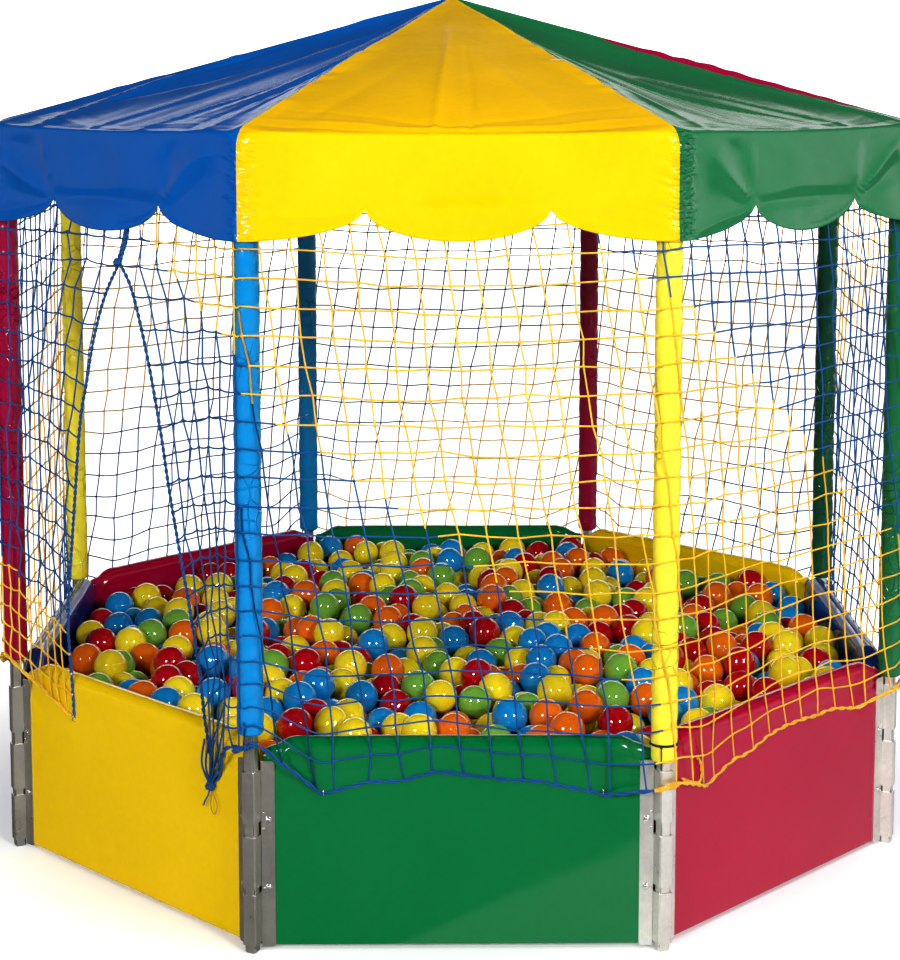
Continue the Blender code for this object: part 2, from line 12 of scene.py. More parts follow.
import bpy
import numpy as np
from mathutils import Matrix, Vector
from mathutils.kdtree import KDTree


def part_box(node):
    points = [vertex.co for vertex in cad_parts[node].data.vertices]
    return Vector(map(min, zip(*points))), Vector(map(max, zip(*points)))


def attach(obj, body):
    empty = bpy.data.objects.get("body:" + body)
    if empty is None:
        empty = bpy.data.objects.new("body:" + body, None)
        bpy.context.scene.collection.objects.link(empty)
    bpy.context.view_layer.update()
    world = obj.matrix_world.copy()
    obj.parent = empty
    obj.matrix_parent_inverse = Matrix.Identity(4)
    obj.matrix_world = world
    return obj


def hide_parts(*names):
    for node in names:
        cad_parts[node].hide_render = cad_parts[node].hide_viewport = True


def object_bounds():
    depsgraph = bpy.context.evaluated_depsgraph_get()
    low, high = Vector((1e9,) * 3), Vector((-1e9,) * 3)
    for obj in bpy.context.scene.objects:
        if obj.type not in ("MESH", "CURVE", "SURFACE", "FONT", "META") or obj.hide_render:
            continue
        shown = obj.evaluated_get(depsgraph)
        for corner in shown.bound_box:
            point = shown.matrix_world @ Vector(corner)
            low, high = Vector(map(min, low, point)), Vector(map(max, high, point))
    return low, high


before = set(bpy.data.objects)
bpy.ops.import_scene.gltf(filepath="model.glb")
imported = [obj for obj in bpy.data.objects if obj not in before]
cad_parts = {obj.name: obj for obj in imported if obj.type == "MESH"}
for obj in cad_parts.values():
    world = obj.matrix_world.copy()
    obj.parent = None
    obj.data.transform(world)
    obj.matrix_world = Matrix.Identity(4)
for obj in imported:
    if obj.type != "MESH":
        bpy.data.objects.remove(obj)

cad_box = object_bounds()

# %% [markdown]
# The pit is a regular octagon, so every place on it is easiest to say in the terms of a face: how far
# along it, how far out from the line of its poles, and how high. The faces are counted anticlockwise from
# the front one, seen from above, and the corner with a face's number is at that face's right end.

# %% Faces and corners
FACES = ("front", "front_right", "right", "back_right", "back", "back_left", "left", "front_left")
CORNERS = (
    "front_right", "right_front", "right_back", "back_right",
    "back_left", "left_back", "left_front", "front_left",
)
SIDES = len(FACES)
FACE_TURN = 2 * math.pi / SIDES


def middle_of(node):
    """The middle of a node's box."""
    low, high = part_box(node)
    return (low + high) / 2


SIDE = (middle_of("pole_front_right") - middle_of("pole_front_left")).length
APOTHEM = SIDE / (2 * math.tan(FACE_TURN / 2))
FLOOR_HEIGHT = cad_box[0][2]


def face_axes(index):
    """Two level directions: along a face to its right, seen from outside, and straight out of it."""
    angle = FACE_TURN * index - math.pi / 2
    return np.array((-math.sin(angle), math.cos(angle), 0)), np.array((math.cos(angle), math.sin(angle), 0))


def on_face(index, along, outward, height):
    """Points in the world from a place along a face, from -SIDE / 2 to SIDE / 2, and out of its pole line."""
    right, out = face_axes(index)
    along, outward, height = np.broadcast_arrays(along, outward, height)
    level = along[..., None] * right + (APOTHEM + outward[..., None]) * out
    return level + height[..., None] * np.array((0, 0, 1.0))


print(f"octagon: side {SIDE:.3f} m, {2 * APOTHEM:.3f} m between opposite pole lines")

# %% [markdown]
# The camera stands where the photographer stood: 5.1 m from the middle of the pit, a little higher than a
# tall person's eyes and aimed slightly down. The picture was trimmed at the bottom, so its optical middle is
# above the middle of the frame. A small vertical shift of the lens does the same here.

# %% Camera
STAND = Vector((0.01555, -5.1110, 1.8069))
PIT_TURN = math.radians(-0.82)
AIM_DOWN = math.radians(6.24)
AIM_RIGHT = math.radians(-0.59)
LENS = 81.92
SENSOR = 36.0
PICTURE_WIDTH = 900
PICTURE_HEIGHT = 960
OPTICAL_ROW = 300

scene = bpy.context.scene
lens = bpy.data.cameras.new("camera")
lens.sensor_fit = "HORIZONTAL"
lens.sensor_width = SENSOR
lens.lens = LENS
lens.shift_y = (OPTICAL_ROW - PICTURE_HEIGHT / 2) / PICTURE_WIDTH
camera = bpy.data.objects.new("camera", lens)
camera.location = Matrix.Rotation(PIT_TURN, 3, "Z") @ STAND
camera.rotation_euler = (math.pi / 2 - AIM_DOWN, 0, AIM_RIGHT)
scene.collection.objects.link(camera)
scene.camera = camera
print("camera at", tuple(round(value, 3) for value in camera.location))

# %% [markdown]
# The sky and the finishes are built from shader nodes. A node takes one line when a helper sets its inputs,
# links the sockets that are handed to it, and gives back what the next node needs.

# %% Node helpers
def feed(tree, made, inputs):
    """Sets a node's inputs to values, or links them from sockets."""
    for label, value in inputs.items():
        if isinstance(value, bpy.types.NodeSocket):
            tree.links.new(value, made.inputs[label])
        else:
            made.inputs[label].default_value = value


def node(tree, kind, inputs=None, **settings):
    """A new node with its settings made and its inputs fed."""
    made = tree.nodes.new("ShaderNode" + kind)
    for label, value in settings.items():
        setattr(made, label, value)
    feed(tree, made, inputs or {})
    return made


def math_node(tree, operation, first, second, clamp=False):
    """A Math node's result, from sockets or numbers."""
    return node(tree, "Math", {0: first, 1: second}, operation=operation, use_clamp=clamp).outputs[0]


def times(tree, first, second):
    """The product of two sockets or numbers."""
    return math_node(tree, "MULTIPLY", first, second)


def added(tree, *terms):
    """The sum of sockets or numbers."""
    total = terms[0]
    for term in terms[1:]:
        total = math_node(tree, "ADD", total, term)
    return total


def ramp(tree, value, span, results=(0.0, 1.0)):
    """A number that goes from one result to the other while the value goes through a span."""
    return node(tree, "MapRange", {
        "Value": value, "From Min": span[0], "From Max": span[1], "To Min": results[0], "To Max": results[1],
    }).outputs["Result"]


# %% [markdown]
# The pit stands in a white studio. For the camera the wall behind it burns out to plain white. In mirror
# images it is softer and ends in a dark ceiling. Where a wave in the cover tips the mirror image over that
# edge, the grey sheen stops, which is what draws the long folds on the slopes. The room behind the camera is
# darker and keeps the panels deep in colour. The wall comes further round on the right, where it makes the
# green cloth and the steel paler. Two flash boxes make the pair of small glints on each ball, and a large
# lamp above lights the cover without showing in it.

# %% Studio light
ROOM_LIGHT = 0.20
ROOM_SPAN = (-0.7, 0.45)
SIDE_LIGHT = 0.68
WALL_LIGHT = 1.7
WALL_SPAN = (0.40, 0.82)
WALL_TURN = math.radians(30)
WALL_FADE = 0.60
FADE_SPAN = (0.04, 0.16)
CEILING_LIGHT = 0.06
CEILING_SPAN = (0.325, 0.37)
BURNT_OUT = 2.2
PRINT_GAMMA = 0.82
WHITE = (1, 1, 1, 1)
scene.view_settings.view_transform = "Standard"
scene.view_settings.gamma = PRINT_GAMMA
scene.world = bpy.data.worlds.new("studio")
scene.world.use_nodes = True


def build_sky(sky):
    """Light from all round: a dim room, a bright wall behind the pit and a dark ceiling over the wall."""
    sky.nodes.clear()
    way = node(sky, "TexCoord").outputs["Generated"]
    turned = node(sky, "VectorRotate", {"Vector": way, "Angle": WALL_TURN}, rotation_type="Z_AXIS")
    to_wall = node(sky, "SeparateXYZ", {0: turned.outputs["Vector"]}).outputs["Y"]
    upward = node(sky, "SeparateXYZ", {0: way}).outputs["Z"]
    room = ramp(sky, to_wall, ROOM_SPAN, (ROOM_LIGHT, SIDE_LIGHT))
    wall = ramp(sky, to_wall, WALL_SPAN, (0.0, WALL_LIGHT - SIDE_LIGHT))
    faded = times(sky, added(sky, room, wall), ramp(sky, upward, FADE_SPAN, (1.0, WALL_FADE)))
    light = times(sky, faded, ramp(sky, upward, CEILING_SPAN, (1.0, CEILING_LIGHT)))
    seen = node(sky, "LightPath").outputs["Is Camera Ray"]
    glow = node(sky, "Mix", {"Factor": seen, "A": light, "B": BURNT_OUT}).outputs["Result"]
    back = node(sky, "Background", {"Color": WHITE, "Strength": glow})
    node(sky, "OutputWorld", {0: back.outputs[0]})


build_sky(scene.world.node_tree)
print("sky:", len(scene.world.node_tree.nodes), "nodes")

# %% Lamps and floor
FLASH_TURN = math.radians(27)
FLASH_DISTANCE = 8.0
FLASH_HEIGHT = 3.6
FLASH_TARGET = (0, 0, 0.8)
FLASH_SIZE = 1.4
FLASH_POWERS = (305, 322)
TOP_PLACE = (1.6, -2.4, 5.2)
TOP_TARGET = (0, 0, 1.5)
TOP_SIZE = 3.0
TOP_POWER = 112
FLOOR_REACH = 14.0


def soft_box(name, place, size, power, target):
    """A square lamp that looks at a target."""
    lamp = bpy.data.lights.new(name, "AREA")
    lamp.size = size
    lamp.energy = power
    box = bpy.data.objects.new(name, lamp)
    box.location = place
    box.rotation_euler = (Vector(target) - Vector(place)).to_track_quat("-Z", "Y").to_euler()
    scene.collection.objects.link(box)
    return box


def studio_sheet(name, corners):
    """A flat four-sided part of the studio."""
    mesh = bpy.data.meshes.new(name)
    mesh.from_pydata(corners, [], [(0, 1, 2, 3)])
    sheet = bpy.data.objects.new(name, mesh)
    scene.collection.objects.link(sheet)
    return sheet


for side_name, turn, power in zip(("left", "right"), (-FLASH_TURN, FLASH_TURN), FLASH_POWERS):
    place = (FLASH_DISTANCE * math.sin(turn), -FLASH_DISTANCE * math.cos(turn), FLASH_HEIGHT)
    soft_box("flash_" + side_name, place, FLASH_SIZE, power, FLASH_TARGET)
top_box = soft_box("top_light", TOP_PLACE, TOP_SIZE, TOP_POWER, TOP_TARGET)
top_box.visible_glossy = False
floor = studio_sheet("floor", [
    (x * FLOOR_REACH, y * FLOOR_REACH, FLOOR_HEIGHT) for x, y in ((-1, -1), (1, -1), (1, 1), (-1, 1))
])
print("studio: two flashes, one top light, a floor", 2 * FLOOR_REACH, "m wide")

# %% [markdown]
# Most pieces here are grids of points whose places are worked out with numpy, which moves a whole array at
# once. A few small helpers do the rest: one turns arrays into a mesh, one links it and says what it rides
# on, one gives the faces of a grid, and one makes smooth noise that is the same on every run. Three short
# curves, eased, crease and mound, shape the folds.

# %% Meshes from arrays
def mesh_of(name, points, *groups, smooth=True):
    """A mesh from an array of points and arrays of faces. Each group is (faces, material number)."""
    mesh = bpy.data.meshes.new(name)
    points = np.asarray(points, dtype=np.float32).reshape(-1, 3)
    sizes = np.concatenate([np.full(len(faces), faces.shape[1]) for faces, _ in groups])
    corners = np.concatenate([faces.ravel() for faces, _ in groups])
    numbers = np.concatenate([np.broadcast_to(number, len(faces)) for faces, number in groups])
    starts = np.concatenate(([0], np.cumsum(sizes)[:-1]))
    mesh.vertices.add(len(points))
    mesh.vertices.foreach_set("co", points.ravel())
    mesh.loops.add(len(corners))
    mesh.loops.foreach_set("vertex_index", corners.astype(np.int32))
    mesh.polygons.add(len(sizes))
    mesh.polygons.foreach_set("loop_start", starts.astype(np.int32))
    mesh.polygons.foreach_set("material_index", numbers.astype(np.int32))
    mesh.polygons.foreach_set("use_smooth", np.full(len(sizes), smooth))
    mesh.update(calc_edges=True)
    mesh.validate()
    return mesh


def piece(name, mesh, body, slot, materials, *nodes):
    """A new piece of the object: it rides on a body, has a finish and may stand for CAD nodes."""
    made = bpy.data.objects.new(name, mesh)
    scene.collection.objects.link(made)
    for material in materials:
        mesh.materials.append(material)
    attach(made, body)
    if nodes:
        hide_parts(*nodes)
    return made


def grid_faces(rows, columns, around=False, across=False):
    """Four-sided faces of a grid of points. The columns, or the rows, may close on themselves."""
    row = np.arange(rows if across else rows - 1)[:, None]
    column = np.arange(columns if around else columns - 1)[None, :]
    right = (column + 1) % columns
    below = (row + 1) % rows
    corners = np.broadcast_arrays(
        row * columns + column, row * columns + right, below * columns + right, below * columns + column
    )
    return np.stack(corners, -1).reshape(-1, 4)


# %% Smooth noise
NOISE_START = 512.37
SEED_STEP = 31.7
HASH_PRIMES = (73856093, 19349663, 83492791)
HASH_MIX = 1274126177


def noise_at(points, size, seed=0):
    """Noise from -1 to 1 at an array of points, with lumps about size metres across."""
    spots = np.asarray(points, dtype=float) / size + NOISE_START + SEED_STEP * seed
    cell = np.floor(spots).astype(np.int64)
    part = spots - cell
    part = part * part * (3 - 2 * part)
    total = np.zeros(spots.shape[:-1])
    for corner in np.ndindex(2, 2, 2):
        place = cell + corner
        first, second, third = (place[..., axis] * prime for axis, prime in enumerate(HASH_PRIMES))
        mixed = first ^ second ^ third
        mixed = (mixed ^ (mixed >> 13)) * HASH_MIX & 0xFFFFFFFF
        value = (mixed ^ (mixed >> 15)) & 0xFFFF
        weight = np.prod(np.where(corner, part, 1 - part), axis=-1)
        total += weight * (value / 32767.5 - 1)
    return total


def eased(value, low, high):
    """0 below low, 1 above high, and smooth between."""
    part = np.clip((value - low) / (high - low), 0, 1)
    return part * part * (3 - 2 * part)


def crease(distance, width):
    """A sharp fold line: 1 on it, and falling off to both sides over about a width."""
    return np.exp(-np.abs(distance) / width)


def mound(distance, width):
    """A soft rise: 1 at its middle, and falling off to both sides over about a width."""
    return np.exp(-(distance / width) ** 2)


def unit(vectors):
    """Vectors made one metre long."""
    return vectors / np.maximum(np.linalg.norm(vectors, axis=-1), 1e-9)[..., None]


def lengths_along(path):
    """The distance gone along a path at each of its points."""
    return np.concatenate(([0], np.cumsum(np.linalg.norm(np.diff(path, axis=0), axis=1))))


def turns_of(count):
    """Even steps of angle round a circle."""
    return np.linspace(0, 2 * math.pi, count, endpoint=False)


def level_ways(angle):
    """Level directions at angles."""
    return np.stack((np.cos(angle), np.sin(angle), np.zeros_like(angle)), -1)


print("noise sample:", noise_at(np.zeros((1, 3)), 1.0))

# %% [markdown]
# Coated vinyl is a woven cloth under a smooth plastic skin. It is glossy, but never evenly so: handling
# leaves duller patches, folds leave fine lines, and the skin has a slight orange peel. Several materials
# share these effects, so each effect is a node group with its own inputs, built once and placed in each
# material with that material's values.

# %% Group and texture helpers
def new_group(name, inputs, outputs):
    """An empty shader node group. A socket is a colour where its first value is one, and else a number."""
    group = bpy.data.node_groups.new(name, "ShaderNodeTree")
    for way, sockets in (("INPUT", inputs), ("OUTPUT", outputs)):
        for label, value in sockets.items():
            kind = "NodeSocketColor" if isinstance(value, tuple) else "NodeSocketFloat"
            group.interface.new_socket(label, in_out=way, socket_type=kind).default_value = value
    return group, group.nodes.new("NodeGroupInput"), group.nodes.new("NodeGroupOutput")


def noise(tree, place, scale, detail, output="Fac"):
    """A soft noise at a place, as a number or as a colour."""
    return node(tree, "TexNoise", {"Vector": place, "Scale": scale, "Detail": detail}).outputs[output]


def cell_lines(tree, place, bend_scale, bend_share, scale, width):
    """A net of lines between uneven cells: 1 on a line and 0 from a width away. A noise bends them."""
    bend = noise(tree, place, bend_scale, 2.0, "Color")
    bent = node(tree, "Mix", {"Factor": bend_share, 6: place, 7: bend}, data_type="RGBA").outputs[2]
    cells = node(tree, "TexVoronoi", {"Vector": bent, "Scale": scale}, feature="DISTANCE_TO_EDGE")
    return ramp(tree, cells.outputs["Distance"], (0.0, width), (1.0, 0.0))


# %% Handling wear group
BROAD_PATCHES = 4.0
FINE_PATCHES = 60.0
PATCH_MIDDLE = 0.75
GLOSS_GAIN = 4.0
TONE_GAIN = 3.0


def build_handling():
    """Gloss and tone that drift over a surface in two sizes of soft patches."""
    group, given, result = new_group(
        "handling", {"Roughness": 0.3, "Spread": 0.1, "Color": WHITE, "Tone": 0.1},
        {"Roughness": 0.3, "Color": WHITE},
    )
    place = node(group, "TexCoord").outputs["Object"]
    broad = noise(group, place, BROAD_PATCHES, 3.0)
    fine = noise(group, place, FINE_PATCHES, 4.0)
    drift = math_node(group, "SUBTRACT", added(group, broad, times(group, fine, 0.5)), PATCH_MIDDLE)
    spread = times(group, times(group, drift, given.outputs["Spread"]), GLOSS_GAIN)
    rough = math_node(group, "ADD", given.outputs["Roughness"], spread, clamp=True)
    tone = times(group, times(group, drift, given.outputs["Tone"]), TONE_GAIN)
    bright = added(group, 1.0, tone)
    shaded = node(group, "HueSaturation", {"Color": given.outputs["Color"], "Value": bright})
    feed(group, result, {"Roughness": rough, "Color": shaded.outputs["Color"]})
    return group


handling = build_handling()
print("handling:", len(handling.nodes), "nodes")


# %% Vinyl skin group
FOLD_LINE = 0.06
FOLDED_PATCHES = (0.48, 0.66)
DENT_SCALE = 22.0
PEEL_SCALE = 900.0
PEEL_HEIGHT = 0.03


def build_vinyl_skin():
    """The height of a vinyl skin: orange peel, soft dents, and a net of thin fold lines."""
    group, given, result = new_group(
        "vinyl_skin", {"Dents": 0.5, "Folds": 0.5, "Fold size": 9.0}, {"Height": 0.0}
    )
    place = node(group, "TexCoord").outputs["Object"]
    line = cell_lines(group, place, 3.0, 0.12, given.outputs["Fold size"], FOLD_LINE)
    shown = ramp(group, noise(group, place, 5.0, 1.0), FOLDED_PATCHES)
    folds = times(group, times(group, line, shown), given.outputs["Folds"])
    dents = times(group, noise(group, place, DENT_SCALE, 2.0), given.outputs["Dents"])
    peel = times(group, noise(group, place, PEEL_SCALE, 1.0), PEEL_HEIGHT)
    feed(group, result, {"Height": added(group, folds, dents, peel)})
    return group


vinyl_skin = build_vinyl_skin()
print("vinyl skin:", len(vinyl_skin.nodes), "nodes")


# %% Surfaces
def surface(name):
    """A material with an empty tree but for its output and a Principled shader."""
    made = bpy.data.materials.new(name)
    made.use_nodes = True
    return made, made.node_tree, made.node_tree.nodes["Principled BSDF"]


def handled_surface(name, colour, roughness, spread, tone):
    """A material whose colour and gloss go through the handling group."""
    made, tree, shader = surface(name)
    worn = node(
        tree, "Group", {"Roughness": roughness, "Spread": spread, "Color": (*colour, 1), "Tone": tone},
        node_tree=handling,
    ).outputs
    feed(tree, shader, {"Base Color": worn["Color"], "Roughness": worn["Roughness"]})
    return made, tree, shader


# %% Vinyl materials
VINYL_SPREAD = 0.09
CRINKLE_HEIGHT = 0.0034
CRINKLE_SCALE = 42.0
CRINKLE_LINE = 0.26
CRINKLE_STRETCH = (1.0, 1.0, 2.2)


def add_crinkles(tree, under):
    """Small sharp crinkles where the cloth is gathered at a seam. Returns the normal over the given one."""
    place = node(tree, "TexCoord").outputs["Object"]
    flat = node(tree, "Mapping", {"Vector": place, "Scale": CRINKLE_STRETCH}).outputs["Vector"]
    ridge = cell_lines(tree, flat, 30.0, 0.02, CRINKLE_SCALE, CRINKLE_LINE)
    gathered = node(tree, "Attribute", attribute_name="gathered").outputs["Fac"]
    height = times(tree, ridge, gathered)
    bump = node(tree, "Bump", {"Height": height, "Distance": CRINKLE_HEIGHT, "Normal": under})
    return bump.outputs["Normal"]


def vinyl(name, colour, roughness, dents, folds, fold_size, depth, tone, shine, gathers=False):
    """A glossy coated cloth in one colour."""
    made, tree, shader = handled_surface(name, colour, roughness, VINYL_SPREAD, tone)
    skin = node(
        tree, "Group", {"Dents": dents, "Folds": folds, "Fold size": fold_size}, node_tree=vinyl_skin
    ).outputs["Height"]
    normal = node(tree, "Bump", {"Height": skin, "Distance": depth}).outputs["Normal"]
    if gathers:
        normal = add_crinkles(tree, normal)
    feed(tree, shader, {"Specular IOR Level": shine, "Normal": normal})
    return made


def vinyls(kind, colours, **finish):
    """One material for each colour of a kind of vinyl."""
    return {colour: vinyl(kind + "_" + colour, rgb, **finish) for colour, rgb in colours.items()}


# %% Vinyl colours
COVER_COLOURS = {
    "yellow": (0.95, 0.562, 0.0),
    "green": (0.016, 0.19, 0.070),
    "red": (0.40, 0.004, 0.055),
    "blue": (0.001, 0.115, 0.46),
}
PANEL_COLOURS = {
    "yellow": (0.95, 0.64, 0.001),
    "green": (0.000, 0.172, 0.048),
    "red": (0.47, 0.001, 0.048),
    "blue": (0.006, 0.045, 0.28),
}
SLEEVE_COLOURS = {
    "yellow": (0.98, 0.84, 0.06),
    "green": (0.015, 0.18, 0.065),
    "dark_green": (0.006, 0.095, 0.045),
    "red": (0.38, 0.003, 0.055),
    "azure": (0.001, 0.26, 0.62),
}
cover_vinyl = vinyls(
    "cover", COVER_COLOURS,
    roughness=0.15, dents=0.16, folds=0.14, fold_size=6.0, depth=0.0012, tone=0.08, shine=0.42, gathers=True,
)
panel_vinyl = vinyls(
    "panel", PANEL_COLOURS,
    roughness=0.10, dents=0.20, folds=0.06, fold_size=5.0, depth=0.0008, tone=0.05, shine=0.50,
)
sleeve_vinyl = vinyls(
    "sleeve", SLEEVE_COLOURS,
    roughness=0.16, dents=1.2, folds=1.3, fold_size=34.0, depth=0.0022, tone=0.08, shine=0.40,
)
print("vinyl materials:", len(cover_vinyl) + len(panel_vinyl) + len(sleeve_vinyl))

# %% [markdown]
# The floor is pale, so that the pit has a soft shadow to stand in. Away from the pit it fades into the white
# of the wall, for the camera alone: the panels would mirror a glowing floor as haze. In their mirror images
# the white sheet ends in a slanting line, with darker boards beyond it, which gives the front panel its
# slanting pale patch. A lit strip hangs four metres behind the pit and shows in mirror images only. The
# balls mirror it along their rims, which makes their white crescents.

# %% Floor finish
FLOOR_FADE = (1.0, 1.9)
FLOOR_GLOW = (0.22, 1.2)
FLOOR_ROUGHNESS = 0.6
FLOOR_WHITE = (0.93, 0.93, 0.93, 1)
FLOOR_BOARDS = (0.16, 0.16, 0.16, 1)
SHEET_EDGE = (0.72, 0.69, 0.0)
SHEET_START = -0.80
SHEET_BLUR = 0.01


def floor_finish():
    """White paper that glows for the camera away from the pit, with an edge that only mirrors show."""
    made, tree, shader = surface("floor_paint")
    place = node(tree, "TexCoord").outputs["Object"]
    away = node(tree, "VectorMath", {0: place}, operation="LENGTH").outputs["Value"]
    across = node(tree, "VectorMath", {0: place, 1: SHEET_EDGE}, operation="DOT_PRODUCT").outputs["Value"]
    on_sheet = ramp(tree, across, (SHEET_START - SHEET_BLUR, SHEET_START + SHEET_BLUR))
    rays = node(tree, "LightPath").outputs
    not_mirrored = math_node(tree, "SUBTRACT", 1.0, rays["Is Glossy Ray"])
    white_here = math_node(tree, "MAXIMUM", on_sheet, not_mirrored)
    tones = node(tree, "Mix", {"Factor": white_here, 6: FLOOR_BOARDS, 7: FLOOR_WHITE}, data_type="RGBA")
    glow = times(tree, ramp(tree, away, FLOOR_FADE, FLOOR_GLOW), rays["Is Camera Ray"])
    feed(tree, shader, {
        "Base Color": tones.outputs[2], "Roughness": FLOOR_ROUGHNESS, "Emission Color": WHITE,
        "Emission Strength": glow,
    })
    return made


floor.data.materials.append(floor_finish())
print(f"floor: white from {FLOOR_FADE[1]} m away")

# %% Backdrop
BACKDROP_PLACE = 4.2
BACKDROP_HALF = 3.4
BACKDROP_SPAN = (1.85, 2.60)
BACKDROP_GLOW = 3.8
backdrop = studio_sheet("backdrop", [
    (x * BACKDROP_HALF, BACKDROP_PLACE, BACKDROP_SPAN[end]) for x, end in ((-1, 0), (1, 0), (1, 1), (-1, 1))
])
backdrop_paint, backdrop_tree, backdrop_shader = surface("backdrop_paint")
feed(backdrop_tree, backdrop_shader, {
    "Base Color": (0, 0, 0, 1), "Emission Color": WHITE, "Emission Strength": BACKDROP_GLOW,
})
backdrop.data.materials.append(backdrop_paint)
for kind in ("camera", "diffuse", "shadow", "transmission"):
    setattr(backdrop, "visible_" + kind, False)
print(f"backdrop: {2 * BACKDROP_HALF} m wide, {BACKDROP_PLACE} m behind the middle of the pit")

# %% [markdown]
# The cover is one sewn sheet: eight gores that run from the apex to the eave, and an apron with scallops
# that hangs from them. Its place is worked out row by row: straight down the slope, round the fold of the
# eave, and down the apron. Over the poles the cloth goes round the bent rafters, so the fold is wide there
# and sharp in the middle of a side. Folds from storage run down the gores, and where two scallops meet, the
# cloth is drawn towards the notch.

# %% Cover sizes
EAVE = 1.700
HEM_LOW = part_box("cover")[0][2]
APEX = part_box("cover")[1][2]
APRON_DEPTH = EAVE - HEM_LOW
SCALLOP_RISE = 0.062
NOTCH_SHARE = 0.29
GORE_SAG = 0.020
GORE_SAGS = {1: 0.027}
GORE_RIDGE = 0.034
CREASE_SHARE = 0.445
SEAM_LIFT = 0.006
EAVE_DIP = 0.008
COVER_STAND_OUT = 0.0355
COVER_APOTHEM = APOTHEM + COVER_STAND_OUT
COVER_RADIUS = COVER_APOTHEM / math.cos(FACE_TURN / 2)
COVER_SIDE = 2 * COVER_RADIUS * math.sin(FACE_TURN / 2)
COVER_CLOTH = 0.0011
CORNER_ROUND = 0.022
LOBE_STEPS = 28
SCALLOP_STEPS = 40
SLOPE_ROWS = 112
APRON_ROWS = 58
GORE_COLOURS = ("yellow", "green", "red", "blue") * 2
SLOPE_LENGTH = math.hypot(COVER_APOTHEM, APEX - EAVE)
SEAM_GATHERS = {0: (0.4, 0.7), 1: (1.1, 1.0), 7: (0.8, 0.5)}
APRON_INWARD = 0.0042
GATHER_REACH = 0.055
LAPPED_GORE = 1
LAP_WIDTH = 0.034
LAP_FROM = 0.33
LAP_TO = 0.90
SLOPE_SPACING = 1.25
print(f"cover: apron {APRON_DEPTH:.3f} m deep, side {COVER_SIDE:.3f} m")


# %% Cover columns
SEAM_CROWDING = 1.5
SCALLOP_FULLNESS = 0.58


def gore_shares():
    """Shares across a gore, closer together at the seams and with one exactly in each notch."""
    lobe = NOTCH_SHARE * np.linspace(0, 1, LOBE_STEPS, endpoint=False) ** SEAM_CROWDING
    middle = np.linspace(NOTCH_SHARE, 1 - NOTCH_SHARE, SCALLOP_STEPS, endpoint=False)
    last = 1 - NOTCH_SHARE * np.linspace(1, 0, LOBE_STEPS, endpoint=False) ** SEAM_CROWDING
    return np.concatenate((lobe, middle, last))


def scallop_drop(share):
    """How far the hem hangs: 1 at the bottom of a scallop, 0 in a notch."""
    to_middle = np.abs(share - 0.5)
    in_middle = to_middle < 0.5 - NOTCH_SHARE
    lobe = (0.5 - to_middle) / NOTCH_SHARE
    part = np.where(in_middle, to_middle / (0.5 - NOTCH_SHARE), lobe)
    return np.clip(1 - part * part, 0, 1) ** SCALLOP_FULLNESS


def eave_line(index, share):
    """The level line of the eave over a face, rounded a little at its corners."""
    start = FACE_TURN * (index - 0.5) - math.pi / 2
    corners = [
        COVER_RADIUS * np.array((math.cos(start + turn), math.sin(start + turn), 0))
        for turn in (-FACE_TURN, 0, FACE_TURN, 2 * FACE_TURN)
    ]
    line = corners[1] + share[..., None] * (corners[2] - corners[1])
    for corner, before, after, along in (
        (corners[1], corners[0], corners[2], share * COVER_SIDE),
        (corners[2], corners[3], corners[1], (1 - share) * COVER_SIDE),
    ):
        part = (np.clip(along, 0, CORNER_ROUND) + CORNER_ROUND)[..., None] / (2 * CORNER_ROUND)
        back = (before - corner) / COVER_SIDE * CORNER_ROUND * (1 - part) ** 2
        ahead = (after - corner) / COVER_SIDE * CORNER_ROUND * part ** 2
        near = (along < CORNER_ROUND)[..., None]
        line = np.where(near, corner + back + ahead, line)
    return line


shares = gore_shares()
print("cover columns:", len(shares), "to a gore")


# %% Cover folds
GORE_FOLDS = {
    0: (
        ((0.46, 0.30), (0.445, 1.12), 0.00, 0.0060, 0.007),
        ((0.55, 0.45), (0.52, 1.08), 0.01, -0.0050, 0.006),
        ((0.30, 0.55), (0.10, 0.98), 0.00, -0.0022, 0.030),
        ((0.62, 0.50), (0.80, 0.96), 0.00, 0.0020, 0.024),
    ),
    1: (
        ((0.44, 0.20), (0.64, 0.98), -0.14, -0.0055, 0.016),
        ((0.10, 0.10), (0.11, 1.10), 0.02, 0.0050, 0.016),
        ((0.26, 0.25), (0.33, 0.90), 0.03, 0.0032, 0.013),
        ((0.52, 0.55), (0.74, 1.05), 0.02, 0.0038, 0.012),
        ((0.90, 0.62), (0.97, 0.96), 0.00, 0.0040, 0.010),
    ),
    7: (
        ((0.01, 0.55), (0.26, 1.12), 0.00, 0.0062, 0.014),
        ((0.99, 0.34), (0.60, 1.12), -0.06, 0.0062, 0.015),
        ((0.57, 0.08), (0.44, 1.12), -0.08, 0.0052, 0.016),
        ((0.99, 0.24), (0.79, 1.10), -0.03, -0.0050, 0.010),
        ((0.99, 0.40), (0.88, 1.10), -0.02, 0.0045, 0.008),
        ((0.92, 0.36), (0.71, 0.95), 0.00, 0.0036, 0.009),
        ((0.30, 0.42), (0.10, 0.90), 0.00, -0.0030, 0.020),
    ),
}
FOLD_SEED = 11
FOLD_COUNT = 6
FOLD_SHIFT = 0.3
FOLD_LEAN = 0.16
FOLD_BOW = 0.06
FOLD_TOPS = (0.05, 0.55)
FOLD_HEIGHTS = (0.003, 0.006)
FOLD_WIDTHS = (0.009, 0.018)
FOLD_END = 1.1


